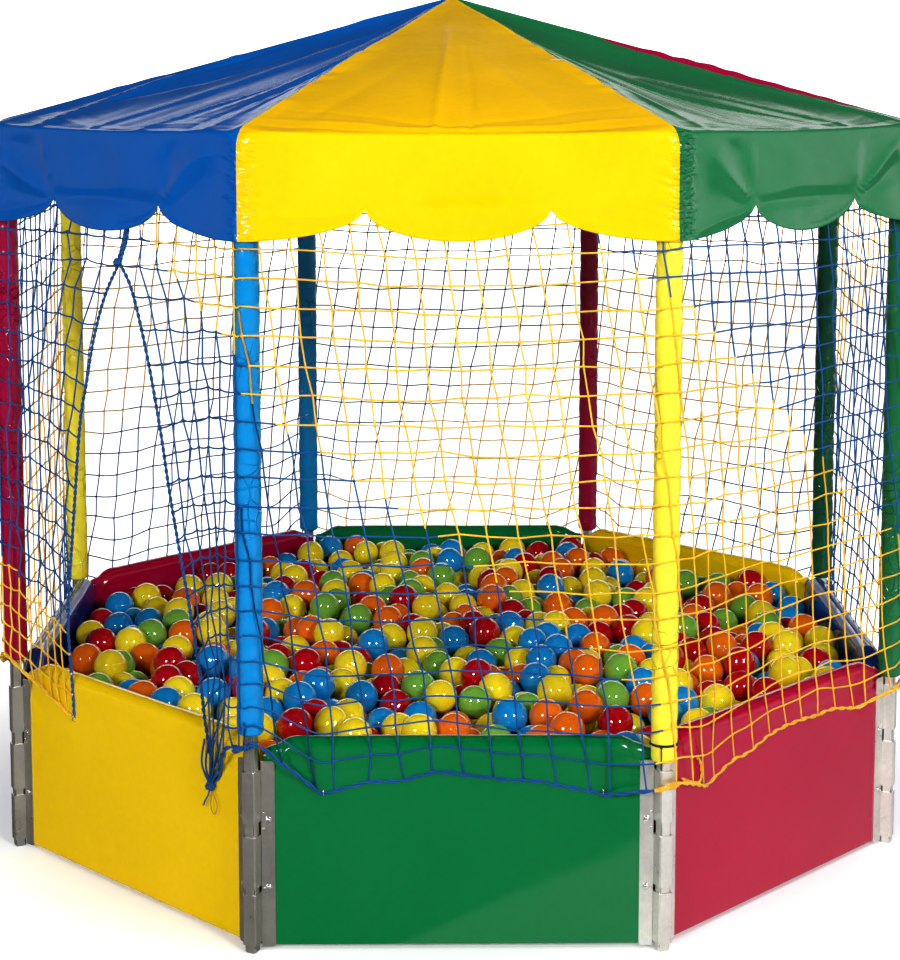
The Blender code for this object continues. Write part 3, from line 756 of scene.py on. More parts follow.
def folds_of(index):
    """Long folds of a gore: each one's start and end as (share, way down), its bow, height and width."""
    if index in GORE_FOLDS:
        return GORE_FOLDS[index]
    dice = np.random.default_rng(FOLD_SEED + index)
    starts = (np.arange(FOLD_COUNT) + 0.5 + dice.uniform(-FOLD_SHIFT, FOLD_SHIFT, FOLD_COUNT)) / FOLD_COUNT
    ends = starts + dice.uniform(-FOLD_LEAN, FOLD_LEAN, FOLD_COUNT)
    tops = dice.uniform(*FOLD_TOPS, FOLD_COUNT)
    heights = dice.choice((-1, 1), FOLD_COUNT) * dice.uniform(*FOLD_HEIGHTS, FOLD_COUNT)
    widths = dice.uniform(*FOLD_WIDTHS, FOLD_COUNT)
    bows = dice.uniform(-FOLD_BOW, FOLD_BOW, FOLD_COUNT)
    return tuple(
        ((start, top), (end, FOLD_END), bow, height, width)
        for start, top, end, bow, height, width in zip(starts, tops, ends, bows, heights, widths)
    )


def fold_relief(fold, share, down, width):
    """How far one long fold stands out."""
    (first, top), (last, bottom), bow, height, reach = fold
    part = np.clip((down - top) / (bottom - top), 0, 1)
    line = first + (last - first) * part + 4 * bow * part * (1 - part)
    return height * np.sin(math.pi * part) ** 0.5 * crease((share - line) * width, reach)


print("folds by hand:", {FACES[index]: len(folds) for index, folds in GORE_FOLDS.items()})


# %% Slope relief
GORE_CALM = {0: 0.30, 1: 0.55}
LONG_WAVE = 0.0060
SHORT_WAVE = 0.0007
SEAM_RIPPLE = 0.0012
SEAM_REACH = 0.030
SEAM_HELD = 0.035
EAVE_CREASES = ((-0.020, -0.0034), (-0.046, 0.0028), (-0.085, -0.0016))
EAVE_CREASE_WIDTH = 0.007
EAVE_CREASE_DRIFT = 0.012


def streaks(across, along, layer, stretch, size, seed):
    """Noise in long streaks that run down the cloth."""
    return noise_at(np.stack((across, along * stretch, layer), -1), size, seed)


def gore_body(index, share, down):
    """The large form of a slope: the front gore has a ridge down its middle, and the others sag."""
    bulge = np.sin(math.pi * np.clip(down, 0, 1))
    if index != 0:
        return -GORE_SAGS.get(index, GORE_SAG) * (1 - (2 * share - 1) ** 2) * bulge
    tent = 1 - np.abs(share - CREASE_SHARE) / np.where(share < CREASE_SHARE, CREASE_SHARE, 1 - CREASE_SHARE)
    return GORE_RIDGE * tent * bulge * np.clip(down, 0, 1)


def seam_lift(index, share, down, edge):
    """How far the cloth lies off the rafter next to a seam, here more and there less."""
    seam = (index + (share > 0.5)) % SIDES
    spots = np.stack((down * SLOPE_LENGTH, np.zeros_like(down), 3.3 * seam), -1)
    uneven = np.clip(0.2 + noise_at(spots, 0.11, 4) + 0.4 * noise_at(spots, 0.03, 5), 0, 1)
    return SEAM_LIFT * uneven * np.sin(math.pi * np.clip(down, 0, 1)) * mound(edge, SEAM_REACH)


def slope_relief(index, share, down, width):
    """How far the cloth of a slope stands out of its plane: sag, waves and folds."""
    across = (share - 0.5) * width
    along = down * SLOPE_LENGTH
    drift = across + 0.05 * np.sin(along * 4 + index)
    layer = np.full_like(across, index * 7.7)
    edge = np.minimum(share, 1 - share) * width
    calm = GORE_CALM.get(index, 1.0)
    waves = LONG_WAVE * streaks(drift, along, layer, 0.2, 0.095, 1)
    waves = calm * (waves + SHORT_WAVE * streaks(drift, along, layer, 0.16, 0.036, 2))
    ripple = SEAM_RIPPLE * calm * streaks(edge, along, layer, 0.08, 0.013, 3)
    ripple = ripple * mound(edge - SEAM_HELD, SEAM_REACH)
    folds = sum(fold_relief(fold, share, down, width) for fold in folds_of(index))
    loose = (waves + ripple) * eased(down, 0, 0.25) + folds
    held = eased(edge, 0.0, SEAM_HELD)
    return gore_body(index, share, down) + seam_lift(index, share, down, edge) + held * loose


def eave_creases(index, share, below):
    """A few crumpled lines that run along the eave, just above its fold."""
    level = np.stack((share * 3.0, np.full_like(share, index), below * 6), -1)
    drift = EAVE_CREASE_DRIFT * noise_at(level, 0.35, 5)
    relief = 0
    for place, height in EAVE_CREASES:
        line = place * (0.5 + 3.0 * np.abs(share - 0.48)) - drift
        relief = relief + height * crease(below - line, EAVE_CREASE_WIDTH)
    strong = 1.0 if index == 0 else 0.5
    return strong * relief * np.sin(math.pi * share) ** 0.5


# %% Apron relief
NOTCH_FALL = APRON_DEPTH - SCALLOP_RISE
APRON_CALM = 0.25
FAN_HEIGHT = 0.0040
VALLEY_DEPTH = 0.0052
VALLEY_WIDTH = 0.013
SOFT_LUMPS = 0.0032
SOFT_DENTS = 0.0006
HEM_FLARE = 0.006
GATHER_HEIGHT = 0.0058
GATHER_WIDTH = 0.040
STITCH_DEPTH = 0.0008
STITCH_PLACE = 0.010
STITCH_WIDTH = 0.0015


def notch_fans(index, along, fall):
    """Folds that fan out of the two notches of an apron."""
    relief = 0
    for notch, outwards in ((NOTCH_SHARE, -1), (1 - NOTCH_SHARE, 1)):
        reach = (along - notch * COVER_SIDE) * outwards
        far = np.hypot(reach, NOTCH_FALL - fall)
        angle = np.arctan2(NOTCH_FALL - fall, np.maximum(reach, 1e-6))
        layer = np.full_like(far, index * 3.1 + outwards)
        swing = noise_at(np.stack((angle, far * 2, layer), -1), 0.5, 6)
        fan = 1 - 2 * np.abs(np.sin(angle * 3.6 + 0.65 * index + 1.1 * swing))
        near = eased(far, 0.004, 0.06) * (1 - 0.8 * eased(far, 0.15, 0.28))
        relief = relief + FAN_HEIGHT * fan * near * eased(reach, 0, 0.03)
    return relief


def seam_gathers(index, share, edge, fall, layer):
    """The ruffles where the apron is gathered at its seams."""
    at_left, at_right = SEAM_GATHERS.get(index, (1.0, 1.0))
    spots = np.stack((edge * 0.4, fall + edge * 0.35, layer), -1)
    ruffle = 0.62 - 1.3 * np.abs(noise_at(spots, 0.016, 9)) - 0.3 * np.abs(noise_at(spots, 0.008, 10))
    gather = GATHER_HEIGHT * np.where(share < 0.5, at_left, at_right) * ruffle * mound(edge, GATHER_WIDTH)
    return gather * eased(edge, 0.001, 0.008) * eased(fall, 0.0, 0.02)


def apron_relief(index, share, fall, depth):
    """How far the hanging apron stands out: pulls towards the notches, a hem, and gathers at the seams."""
    along = share * COVER_SIDE
    layer = np.full_like(fall, index * 1.9)
    between = np.clip(1 - ((share - 0.5) / (0.5 - NOTCH_SHARE)) ** 2, 0, 1)
    line = fall - NOTCH_FALL + 0.006 + 0.010 * between
    relief = notch_fans(index, along, fall) - VALLEY_DEPTH * between ** 0.4 * mound(line, VALLEY_WIDTH)
    spots = np.stack((along, fall, layer), -1)
    relief = relief + SOFT_LUMPS * noise_at(spots, 0.11, 7) + SOFT_DENTS * noise_at(spots, 0.035, 8)
    relief = relief + HEM_FLARE * (fall / depth) ** 3 * np.cos(4 * math.pi * share + index)
    edge = np.minimum(along, COVER_SIDE - along)
    inward = APRON_INWARD * np.tanh(relief / APRON_INWARD) * eased(edge, 0.015, 0.09)
    relief = np.where(relief < 0, inward, relief) * (APRON_CALM if index == 0 else 1.0)
    stitches = STITCH_DEPTH * crease(depth - fall - STITCH_PLACE, STITCH_WIDTH)
    return relief * eased(fall, 0.0, 0.05) + seam_gathers(index, share, edge, fall, layer) - stitches


# %% Cover points
APEX_GAP = 0.004
APRON_SPACING = 1.15
EAVE_BEND = 0.006
CORNER_BEND = 0.036
RIB_HEIGHT = 0.0011
RIB_WIDTH = 0.0045


def cover_points(index):
    """Points of a gore and its apron, row by row from the apex to the hem."""
    steps = np.arange(SLOPE_ROWS + APRON_ROWS + 1)[:, None]
    share = np.broadcast_to(shares, (len(steps), len(shares)))
    line = eave_line(index, share)
    out = face_axes(index)[1]
    apex = np.array((0, 0, APEX))
    middle = 1 - (2 * share - 1) ** 2
    eave = line + np.array((0, 0, 1.0)) * (EAVE - EAVE_DIP * middle)[..., None]
    slope = apex - eave
    length = np.linalg.norm(slope, axis=-1)
    slope = slope / length[..., None]
    depth = APRON_DEPTH - SCALLOP_RISE * (1 - scallop_drop(share)) - EAVE_DIP * middle
    up_share = np.clip(1 - steps / SLOPE_ROWS, 0, 1) ** SLOPE_SPACING
    down_share = np.clip((steps - SLOPE_ROWS) / APRON_ROWS, 0, 1) ** APRON_SPACING
    path = np.where(steps <= SLOPE_ROWS, -up_share * (length - APEX_GAP), down_share * depth)
    bend = EAVE_BEND + CORNER_BEND * np.abs(2 * share - 1) ** 14
    part = np.clip((path + bend) / (2 * bend), 0, 1)
    up = np.where(path < -bend, -path, np.where(path < bend, bend * (1 - part) ** 2, 0))
    down = np.where(path > bend, path, np.where(path > -bend, bend * part ** 2, 0))
    points = eave + slope * up[..., None]
    points[..., 2] -= down
    fold = eased(path, -bend, bend)[..., None]
    climb = math.atan2(APEX - EAVE, COVER_APOTHEM)
    normal = out * math.sin(climb) + np.array((0, 0, math.cos(climb)))
    normal = unit(normal * (1 - fold) + out * fold)
    down_slope = 1 - np.clip(-path / length, 0, 1)
    above = slope_relief(index, share, down_slope, COVER_SIDE * down_slope)
    above = above + eave_creases(index, share, path)
    below = apron_relief(index, share, np.maximum(path, 0), depth)
    relief = np.where(path < 0, above * eased(-path, 0, 0.02), below)
    seam = np.minimum(share, 1 - share) * COVER_SIDE * np.clip(down_slope, 0.02, 1)
    relief = relief + RIB_HEIGHT * mound(seam, RIB_WIDTH)
    return points + normal * relief[..., None]


# %% Cover colours and gathers
palette = sorted(cover_vinyl)
gore_numbers = np.array([palette.index(colour) for colour in GORE_COLOURS])


def gores_of(faces, column_count):
    """The gore that each face belongs to. One gore laps over its neighbour along a part of their seam."""
    first = faces.min(axis=1)
    columns = faces % column_count
    gore = first % column_count // len(shares)
    gore[columns.max(axis=1) - columns.min(axis=1) > 1] = SIDES - 1
    down = 1 - (1 - np.clip(first // column_count / SLOPE_ROWS, 0, 1)) ** SLOPE_SPACING
    left_over = (1 - shares[first % column_count % len(shares)]) * COVER_SIDE * down
    lapped = LAP_WIDTH * np.sin(math.pi * np.clip((down - LAP_FROM) / (LAP_TO - LAP_FROM), 0, 1)) ** 0.5
    gore[(gore == LAPPED_GORE) & (left_over < lapped)] += 1
    return gore


def gather_strengths(row_count):
    """How strongly the cloth is gathered at each point of the rows: below the eave, and next to a seam."""
    share = np.tile(shares, SIDES)
    from_left = 1 - eased(share * COVER_SIDE, GATHER_REACH * 0.4, GATHER_REACH)
    from_right = 1 - eased((1 - share) * COVER_SIDE, 0.0, GATHER_REACH * 0.5)
    hanging = (np.arange(row_count) > SLOPE_ROWS - 2)[:, None]
    strength = np.array([SEAM_GATHERS.get(index, (1.0, 1.0)) for index in range(SIDES)])
    strength = np.repeat(strength, len(shares), axis=0)
    return hanging * np.maximum(from_left * strength[:, 0], from_right * strength[:, 1])


print("cover colours:", palette)


# %% Build the cover
def build_cover():
    """The sewn cover over its CAD node: eight gores and their aprons in one mesh."""
    points = np.concatenate([cover_points(index) for index in range(SIDES)], axis=1)
    row_count, column_count = points.shape[:2]
    faces = grid_faces(row_count, column_count, around=True)[:, ::-1]
    ring = np.arange(column_count)
    tip = np.stack((ring, np.roll(ring, -1), np.full_like(ring, row_count * column_count)), -1)
    points = np.concatenate((points.reshape(-1, 3), [(0, 0, APEX - 0.001)]))
    mesh = mesh_of(
        "cover_cloth", points, (faces, gore_numbers[gores_of(faces, column_count)]),
        (tip, gore_numbers[ring // len(shares)]),
    )
    gathered = mesh.attributes.new("gathered", "FLOAT", "POINT")
    gathered.data.foreach_set("value", np.append(gather_strengths(row_count), 0).astype(np.float32))
    cloths = [cover_vinyl[colour] for colour in palette]
    return piece("cover_cloth", mesh, "cover", "cover_cloth", cloths, "cover")


cover = build_cover()
shell = cover.modifiers.new("cloth", "SOLIDIFY")
shell.thickness = COVER_CLOTH
shell.offset = -1

# %% [markdown]
# Each base panel is a board with foam on it in a tight vinyl bag. Its cross-section is a tall flat pad with
# a full round top. That outline is drawn once as a loop of points with their outward directions, and then
# carried along the panel. What makes it vinyl is the relief: it crowns a little in the middle, it is drawn
# in at its top ends where the bag is folded shut, and creases run out of those folds.

# %% Panel outline
panel_low, panel_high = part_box("panel_front")
PANEL_HALF = panel_high[0]
PANEL_BOTTOM = panel_low[2]
PANEL_TOP = panel_high[2]
PANEL_CROWN = 0.0035
PANEL_DEEP = (panel_high[1] - panel_low[1]) / 2 - PANEL_CROWN
PANEL_MIDDLE = -(panel_high[1] + panel_low[1]) / 2 - APOTHEM
FOOT_ROUND = 0.005
END_ROUND = 0.004
PANEL_END_DROP = 0.019
PANEL_COLUMNS = 150
FACE_ROWS = 64
TOP_STEPS = 26
FOOT_STEPS = 6


def panel_outline():
    """The panel's cross-section: out and up, then over the round top and down, with outward directions."""
    places, ways = [], []

    def arc(centre_out, centre_up, radius, first, last, steps):
        for angle in np.linspace(math.radians(first), math.radians(last), steps):
            way = (math.cos(angle), math.sin(angle))
            places.append((centre_out + radius * way[0], centre_up + radius * way[1]))
            ways.append(way)

    def wall(out, low, high, steps):
        for height in np.linspace(low, high, steps + 2)[1:-1]:
            places.append((out, height))
            ways.append((math.copysign(1, out), 0))

    shoulder = PANEL_TOP - PANEL_DEEP
    foot = PANEL_BOTTOM + FOOT_ROUND
    arc(PANEL_DEEP - FOOT_ROUND, foot, FOOT_ROUND, -90, 0, FOOT_STEPS)
    wall(PANEL_DEEP, foot, shoulder, FACE_ROWS)
    arc(0, shoulder, PANEL_DEEP, 0, 180, TOP_STEPS)
    wall(-PANEL_DEEP, shoulder, foot, FACE_ROWS // 2)
    arc(FOOT_ROUND - PANEL_DEEP, foot, FOOT_ROUND, 180, 270, FOOT_STEPS)
    return np.array(places), np.array(ways)


outline, outline_ways = panel_outline()
print("panel outline:", len(outline), "points")


# %% Panel relief
END_PINCH = 0.0065
PLEAT_HEIGHT = 0.0019
PLEAT_PITCH = 0.0048
PLEAT_REACH = 0.050
PULL_HEIGHT = 0.0010
PULL_REACH = 0.13
ARC_HEIGHT = 0.0007
TOP_VALLEY = 0.0010
TOP_VALLEY_DROP = 0.062
TOP_VALLEY_WIDTH = 0.010
PANEL_LUMPS = 0.0009
PANEL_DENTS = 0.00022


def panel_relief(index, along, out, height):
    """How far a panel's vinyl stands out of its outline."""
    share = along / PANEL_HALF
    rise = (height - PANEL_BOTTOM) / (PANEL_TOP - PANEL_BOTTOM)
    reach = (1 - np.abs(share)) * PANEL_HALF
    layer = out * 0.6 + index * 3.7
    spots = np.stack((along, height, layer), -1)
    crown = PANEL_CROWN * (1 - share ** 4) * np.sin(math.pi * np.clip(rise * 0.92, 0, 1)) ** 0.7
    ends = eased(np.abs(share), 0.86, 1.0)
    pinch = -END_PINCH * ends * eased(height, PANEL_TOP - 0.085, PANEL_TOP - 0.035)
    swirl = noise_at(spots, 0.05, 11)
    pleats = np.sin((height + np.abs(out) * 0.6) / PLEAT_PITCH + 5 * swirl) * crease(reach, PLEAT_REACH)
    crumple = PLEAT_HEIGHT * pleats * eased(height, PANEL_TOP - 0.11, PANEL_TOP - 0.04)
    rays = np.arctan2(reach, PANEL_TOP - 0.055 - height) + 0.25 * swirl
    pulls = PULL_HEIGHT * np.cos(rays * 9 + index) * mound(reach, PULL_REACH) * eased(rise, 0.6, 0.85)
    bent = np.stack((along * 0.5, height * 2.6 + 0.25 * along ** 2, layer), -1)
    arcs = ARC_HEIGHT * noise_at(bent, 0.05, 12) * eased(height, PANEL_TOP - 0.13, PANEL_TOP - 0.07)
    valley = -TOP_VALLEY * mound(height - PANEL_TOP + TOP_VALLEY_DROP, TOP_VALLEY_WIDTH) * (1 - ends)
    soft = PANEL_LUMPS * noise_at(spots, 0.16, 13) + PANEL_DENTS * noise_at(spots, 0.045, 14)
    return crown + pinch + crumple + pulls + arcs + valley + soft


# %% Build the panels
FACE_COLOURS = ("green", "red", "blue", "yellow") * 2
PANEL_CROWDING = 1.35


def build_panel(index):
    """One padded panel over its CAD node."""
    side = np.linspace(-1, 1, PANEL_COLUMNS)
    spread = np.sign(side) * (1 - (1 - np.abs(side)) ** PANEL_CROWDING)
    along = np.broadcast_to((spread * PANEL_HALF)[:, None], (PANEL_COLUMNS, len(outline)))
    out = np.broadcast_to(outline[:, 0], along.shape)
    height = np.broadcast_to(outline[:, 1], along.shape)
    to_end = np.clip((PANEL_HALF - np.abs(along)) / END_ROUND, 0, 1)
    inset = END_ROUND * (1 - np.sqrt(1 - (1 - to_end) ** 2))
    level = panel_relief(index, along, out, height) - inset
    flat_foot = eased(height, PANEL_BOTTOM, PANEL_BOTTOM + 0.02)
    out = out + outline_ways[:, 0] * level * flat_foot
    height = np.minimum(height + outline_ways[:, 1] * level * flat_foot, PANEL_TOP + 0.002)
    end_drop = eased(np.abs(along), PANEL_HALF - 0.075, PANEL_HALF)
    height = height - PANEL_END_DROP * end_drop * eased(height, PANEL_TOP - 0.12, PANEL_TOP)
    points = on_face(index, along, PANEL_MIDDLE + out, height)
    faces = grid_faces(PANEL_COLUMNS, len(outline), around=True)
    caps, centres = [], []
    for column, turned in ((0, False), (PANEL_COLUMNS - 1, True)):
        ring = column * len(outline) + np.arange(len(outline))
        centre = np.full(len(outline), points[..., 0].size + len(centres))
        fan = np.stack((ring, np.roll(ring, -1), centre), -1)
        caps.append(fan[:, ::-1] if turned else fan)
        centres.append(points[column].mean(axis=0))
    points = np.concatenate((points.reshape(-1, 3), centres))
    mesh = mesh_of("panel", points, (faces, 0), (np.concatenate(caps), 0))
    name = "panel_pad_" + FACES[index]
    colour = FACE_COLOURS[index]
    made = piece(name, mesh, "base", "vinyl_" + colour, [panel_vinyl[colour]], "panel_" + FACES[index])
    return made


panels = [build_panel(index) for index in range(SIDES)]
print("panels:", len(panels), "with", len(panels[0].data.polygons), "faces each")

# %% [markdown]
# The sleeves are foam tubes in a thinner, crinkly vinyl. Each was slipped over its pole and stays at its own
# height. The net's cross strands are pulled round them and press a ring into the foam at every row, so the
# sleeve bulges a little between the strands. The lower end is gathered in to the pole.

# %% Net rows
NET_ROWS = 22
NET_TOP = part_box("net_front")[1][2]
NET_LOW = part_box("net_front")[0][2]
ROW_STEP = (NET_TOP - NET_LOW) / NET_ROWS
print(f"net: {NET_ROWS} rows, {1000 * ROW_STEP:.0f} mm apart")

# %% Sleeve relief
SLEEVE_RADIUS = 0.029
SLEEVE_NECK = 0.0205
SLEEVE_GATHER = 0.014
SLEEVE_ROOM = 0.0012
SLEEVE_SIDES = 56
SLEEVE_RINGS = 330
PRESS_DEPTH = 0.0022
PRESS_WIDTH = 0.0045
PRESS_TILT = 0.006
ROW_BULGE = 0.0004
FOAM_LUMPS = 0.0007
SKIN_CRINKLE = 0.0008
WELD_HEIGHT = 0.0012
WELD_WIDTH = 0.002
NECK_PLEAT = 0.0011
NECK_PLEATS = 14


def sleeve_radius(index, way, angle, height, to_end):
    """The radius of a sleeve at each of its points, with what the net and the foam do to it."""
    spots = np.concatenate((way[..., :2] * SLEEVE_RADIUS, height[..., None] + index * 5.1), -1)
    face_out = angle - (FACE_TURN * (index + 0.5) - math.pi / 2)
    outer = 0.5 + 0.5 * np.cos(face_out)
    row = (NET_TOP - height + PRESS_TILT * np.sin(face_out)) / ROW_STEP
    near_row = np.abs(row - np.round(row)) * ROW_STEP
    netted = (row > -0.3) & (row < NET_ROWS + 0.3)
    press = PRESS_DEPTH * crease(near_row, PRESS_WIDTH) * outer * netted
    bulge = ROW_BULGE * np.cos(2 * math.pi * row) * netted
    soft = FOAM_LUMPS * noise_at(spots, 0.05, 21)
    crinkle = SKIN_CRINKLE * np.abs(noise_at(spots * (1, 1, 1.8), 0.011, 22))
    weld = WELD_HEIGHT * crease(np.abs(np.abs(face_out) - math.pi) * SLEEVE_RADIUS, WELD_WIDTH)
    radius = SLEEVE_RADIUS - SLEEVE_ROOM - press - bulge + soft - crinkle + weld
    part = np.clip(to_end / SLEEVE_GATHER, 0, 1)
    pleats = np.cos(angle * NECK_PLEATS + 2 * noise_at(spots, 0.02, 23))
    pleat = NECK_PLEAT * pleats * (1 - part) * part * 3
    return SLEEVE_NECK + (radius - SLEEVE_NECK) * np.sqrt(1 - (1 - part) ** 2) + pleat


# %% Build the sleeves
SLEEVE_VINYLS = ("yellow", "green", "dark_green", "red", "azure", "yellow", "red", "azure")
NECK_SET = 0.003
END_SET = 0.004


def build_sleeve(index):
    """One foam sleeve over its CAD node. Its ends are turned in to the pole."""
    corner = CORNERS[index]
    low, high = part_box("sleeve_" + corner)
    centre = middle_of("pole_" + corner)
    height = np.linspace(low[2], high[2], SLEEVE_RINGS)[:, None]
    height, angle = np.broadcast_arrays(height, turns_of(SLEEVE_SIDES))
    way = level_ways(angle)
    radius = sleeve_radius(index, way, angle, height, np.minimum(height - low[2], high[2] - height))
    foot = np.array((centre[0], centre[1], 0))
    points = foot + way * radius[..., None]
    points[..., 2] = height
    inner = foot + way[:1] * (SLEEVE_NECK - NECK_SET)
    ends = [inner + (0, 0, level) for level in (low[2] + END_SET, high[2] - END_SET)]
    points = np.concatenate((ends[0], points, ends[1]))
    faces = grid_faces(SLEEVE_RINGS + 2, SLEEVE_SIDES, around=True, across=True)
    mesh = mesh_of("sleeve", points, (faces, 0))
    colour = SLEEVE_VINYLS[index]
    slot = "vinyl_" + colour.removeprefix("dark_")
    made = piece("foam_sleeve_" + corner, mesh, "base", slot, [sleeve_vinyl[colour]], "sleeve_" + corner)
    return made


sleeves = [build_sleeve(index) for index in range(SIDES)]
print("sleeves:", len(sleeves), "with", len(sleeves[0].data.polygons), "faces each")

# %% [markdown]
# The fill is about three thousand hollow balls. The balls on top come first: staggered rows, each ball moved
# at random, then pushed apart round after round until no two overlap. The solid fill has a low dome for each
# of them, made by the same rule, so these balls lie where its domes are. The balls below are scattered and
# pushed apart in the same way, under the ones on top, which now hold still.

# %% Fill sizes
BALL_RADIUS = 0.040
MOST_SMALLER = 0.0032
BALL_PITCH = 0.079
BALL_JITTER = 0.026
BALL_LIFT = 0.030
FILL_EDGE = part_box("panel_front")[1][2] - 0.040
FILL_HEAP = 0.030
FILL_SEED = 8
SETTLE_TURNS = 80
SETTLE_SHARE = 0.8
MAT_THICKNESS = 0.003
MAT_LAP = 0.020
FILL_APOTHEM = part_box("ball_fill")[1][0] - MAT_LAP
FILL_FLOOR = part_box("ball_fill")[0][2] + MAT_THICKNESS
LOWER_COUNT = 2380
LOWER_SEED = 5
LOWER_ROUNDS = 100
LOWER_START = 2.4
LOWER_CEILING = 1.7
LOWER_PUSH = 0.42
NEAR_REACH = 2.5
PAIRS_KEPT = 4
BALL_COLOURS = {
    "yellow": (1.0, 0.79, 0.020),
    "blue": (0.004, 0.29, 0.72),
    "red": (0.50, 0.001, 0.010),
    "orange": (0.92, 0.19, 0.006),
    "green": (0.21, 0.48, 0.065),
}
COLOUR_DRAW = ("yellow", "yellow", "blue", "red", "orange", "green")
WALLS = np.array([face_axes(index)[1][:2] for index in range(SIDES)])
print(f"fill: {2 * FILL_APOTHEM:.3f} m across, balls {2000 * BALL_RADIUS:.0f} mm")


# %% The balls on top
def kept_inside(places, reach):
    """Balls that stand past a wall are put back against it."""
    for wall in WALLS:
        over = np.maximum(places[:, :2] @ wall - reach, 0)
        places[:, :2] -= over[:, None] * wall


def top_balls():
    """Middles and colours of the balls on top of the fill."""
    chance = random.Random(FILL_SEED)
    row_pitch = BALL_PITCH * math.sqrt(3) / 2
    rows = math.ceil(FILL_APOTHEM / row_pitch)
    reach = FILL_APOTHEM - BALL_RADIUS
    spots = []
    for row in range(-rows, rows + 1):
        shift = BALL_PITCH / 2 if row % 2 else 0.0
        for column in range(-rows - 1, rows + 2):
            x, y = column * BALL_PITCH + shift, row * row_pitch
            if (WALLS @ (x, y)).max() < reach:
                moves = [chance.uniform(-BALL_JITTER, BALL_JITTER) for axis in range(2)]
                spots.append((x + moves[0], y + moves[1], chance.uniform(-BALL_LIFT, BALL_LIFT)))
    places = np.array(spots)
    for turn in range(SETTLE_TURNS):
        apart = places[:, None] - places[None]
        length = np.linalg.norm(apart, axis=2)
        np.fill_diagonal(length, 2 * BALL_RADIUS)
        push = np.clip(2 * BALL_RADIUS - length, 0, None) / (2 * length)
        places += (apart * push[:, :, None]).sum(axis=1) * SETTLE_SHARE
        places[:, 2] = np.clip(places[:, 2], -BALL_LIFT, BALL_LIFT)
        kept_inside(places, reach)
    colours = [chance.choice(COLOUR_DRAW) for place in places]
    places[:, 2] += fill_surface(places) - BALL_RADIUS
    return places, colours


def fill_surface(places):
    """The height of the fill's top over places, before each ball's own lift."""
    share = (places[:, :2] @ WALLS.T).max(axis=1) / FILL_APOTHEM
    return FILL_EDGE + FILL_HEAP * (1 - share * share)


top_places, top_colours = top_balls()
print(f"balls on top: {len(top_places)}, up to {top_places[:, 2].max() + BALL_RADIUS:.3f} m")


# %% The balls below
def touching_pairs(places, reach):
    """Index pairs of the balls whose middles are nearer than a reach."""
    tree = KDTree(len(places))
    for number, place in enumerate(places):
        tree.insert(place, number)
    tree.balance()
    found = [
        (number, other)
        for number, place in enumerate(places)
        for _, other, _ in tree.find_range(place, reach)
        if other > number
    ]
    return np.array(found).T


def lower_balls():
    """Middles of the balls under the ones on top, pushed apart until they fill the space."""
    dice = np.random.default_rng(LOWER_SEED)
    reach = FILL_APOTHEM - BALL_RADIUS
    low = FILL_FLOOR + BALL_RADIUS
    scattered = dice.uniform((-reach, -reach, low), (reach, reach, FILL_EDGE), (LOWER_COUNT * 2, 3))
    ceiling = fill_surface(scattered) - LOWER_START * BALL_RADIUS
    free = (scattered[:, :2] @ WALLS.T < reach).all(axis=1) & (scattered[:, 2] < ceiling)
    places = np.concatenate((top_places, scattered[free][:LOWER_COUNT]))
    held = np.arange(len(places)) < len(top_places)
    for turn in range(LOWER_ROUNDS):
        if turn % PAIRS_KEPT == 0:
            first, second = touching_pairs(places, NEAR_REACH * BALL_RADIUS)
        apart = places[first] - places[second]
        distance = np.maximum(np.linalg.norm(apart, axis=1), 1e-6)
        overlap = np.maximum(2 * BALL_RADIUS - distance, 0)
        push = apart * (LOWER_PUSH * overlap / distance)[:, None]
        np.add.at(places, first, push)
        np.add.at(places, second, -push)
        kept_inside(places, reach)
        ceiling = fill_surface(places) - LOWER_CEILING * BALL_RADIUS
        places[:, 2] = np.clip(places[:, 2], low, ceiling)
        places[held] = top_places
    return places[~held]


def sizes_of(places):
    """The radius of each ball. One that still overlaps a neighbour is a little smaller, as real ones are."""
    first, second = touching_pairs(places, 2 * BALL_RADIUS)
    overlaps = 2 * BALL_RADIUS - np.linalg.norm(places[first] - places[second], axis=1)
    print(f"balls: {len(places)}, overlaps {overlaps.mean():.4f} m on average, up to {overlaps.max():.4f} m")
    worst = np.zeros(len(places))
    np.maximum.at(worst, first, overlaps)
    np.maximum.at(worst, second, overlaps)
    return BALL_RADIUS - np.clip(worst / 2, 0, MOST_SMALLER)


lower_places = lower_balls()
balls = np.concatenate((top_places, lower_places))
ball_sizes = sizes_of(balls)


# %% Ball shapes
def ball_shape(segments, latitudes, ridge):
    """A unit ball: its points, its four-sided faces and the triangles at its poles."""
    turns = turns_of(segments)
    heights = np.radians(latitudes)[:, None]
    swell = np.where(np.abs(heights) < 1e-6, 1 + ridge, 1.0)
    rings = np.stack(np.broadcast_arrays(
        np.cos(heights) * np.cos(turns) * swell, np.cos(heights) * np.sin(turns) * swell, np.sin(heights)
    ), -1).reshape(-1, 3)
    points = np.concatenate((rings, [(0, 0, -1), (0, 0, 1)]))
    faces = grid_faces(len(latitudes), segments, around=True)
    ring = np.arange(segments)
    ahead = np.roll(ring, -1)
    south = np.stack((ahead, ring, np.full(segments, len(rings))), -1)
    last = (len(latitudes) - 1) * segments
    north = np.stack((last + ring, last + ahead, np.full(segments, len(rings) + 1)), -1)
    return points, faces, np.concatenate((south, north))


MOULD_RIDGE = 0.011
fine_ball = ball_shape(22, (-75, -60, -45, -30, -15, -3, 0, 3, 15, 30, 45, 60, 75), MOULD_RIDGE)
coarse_ball = ball_shape(8, (-50, 0, 50), 0)


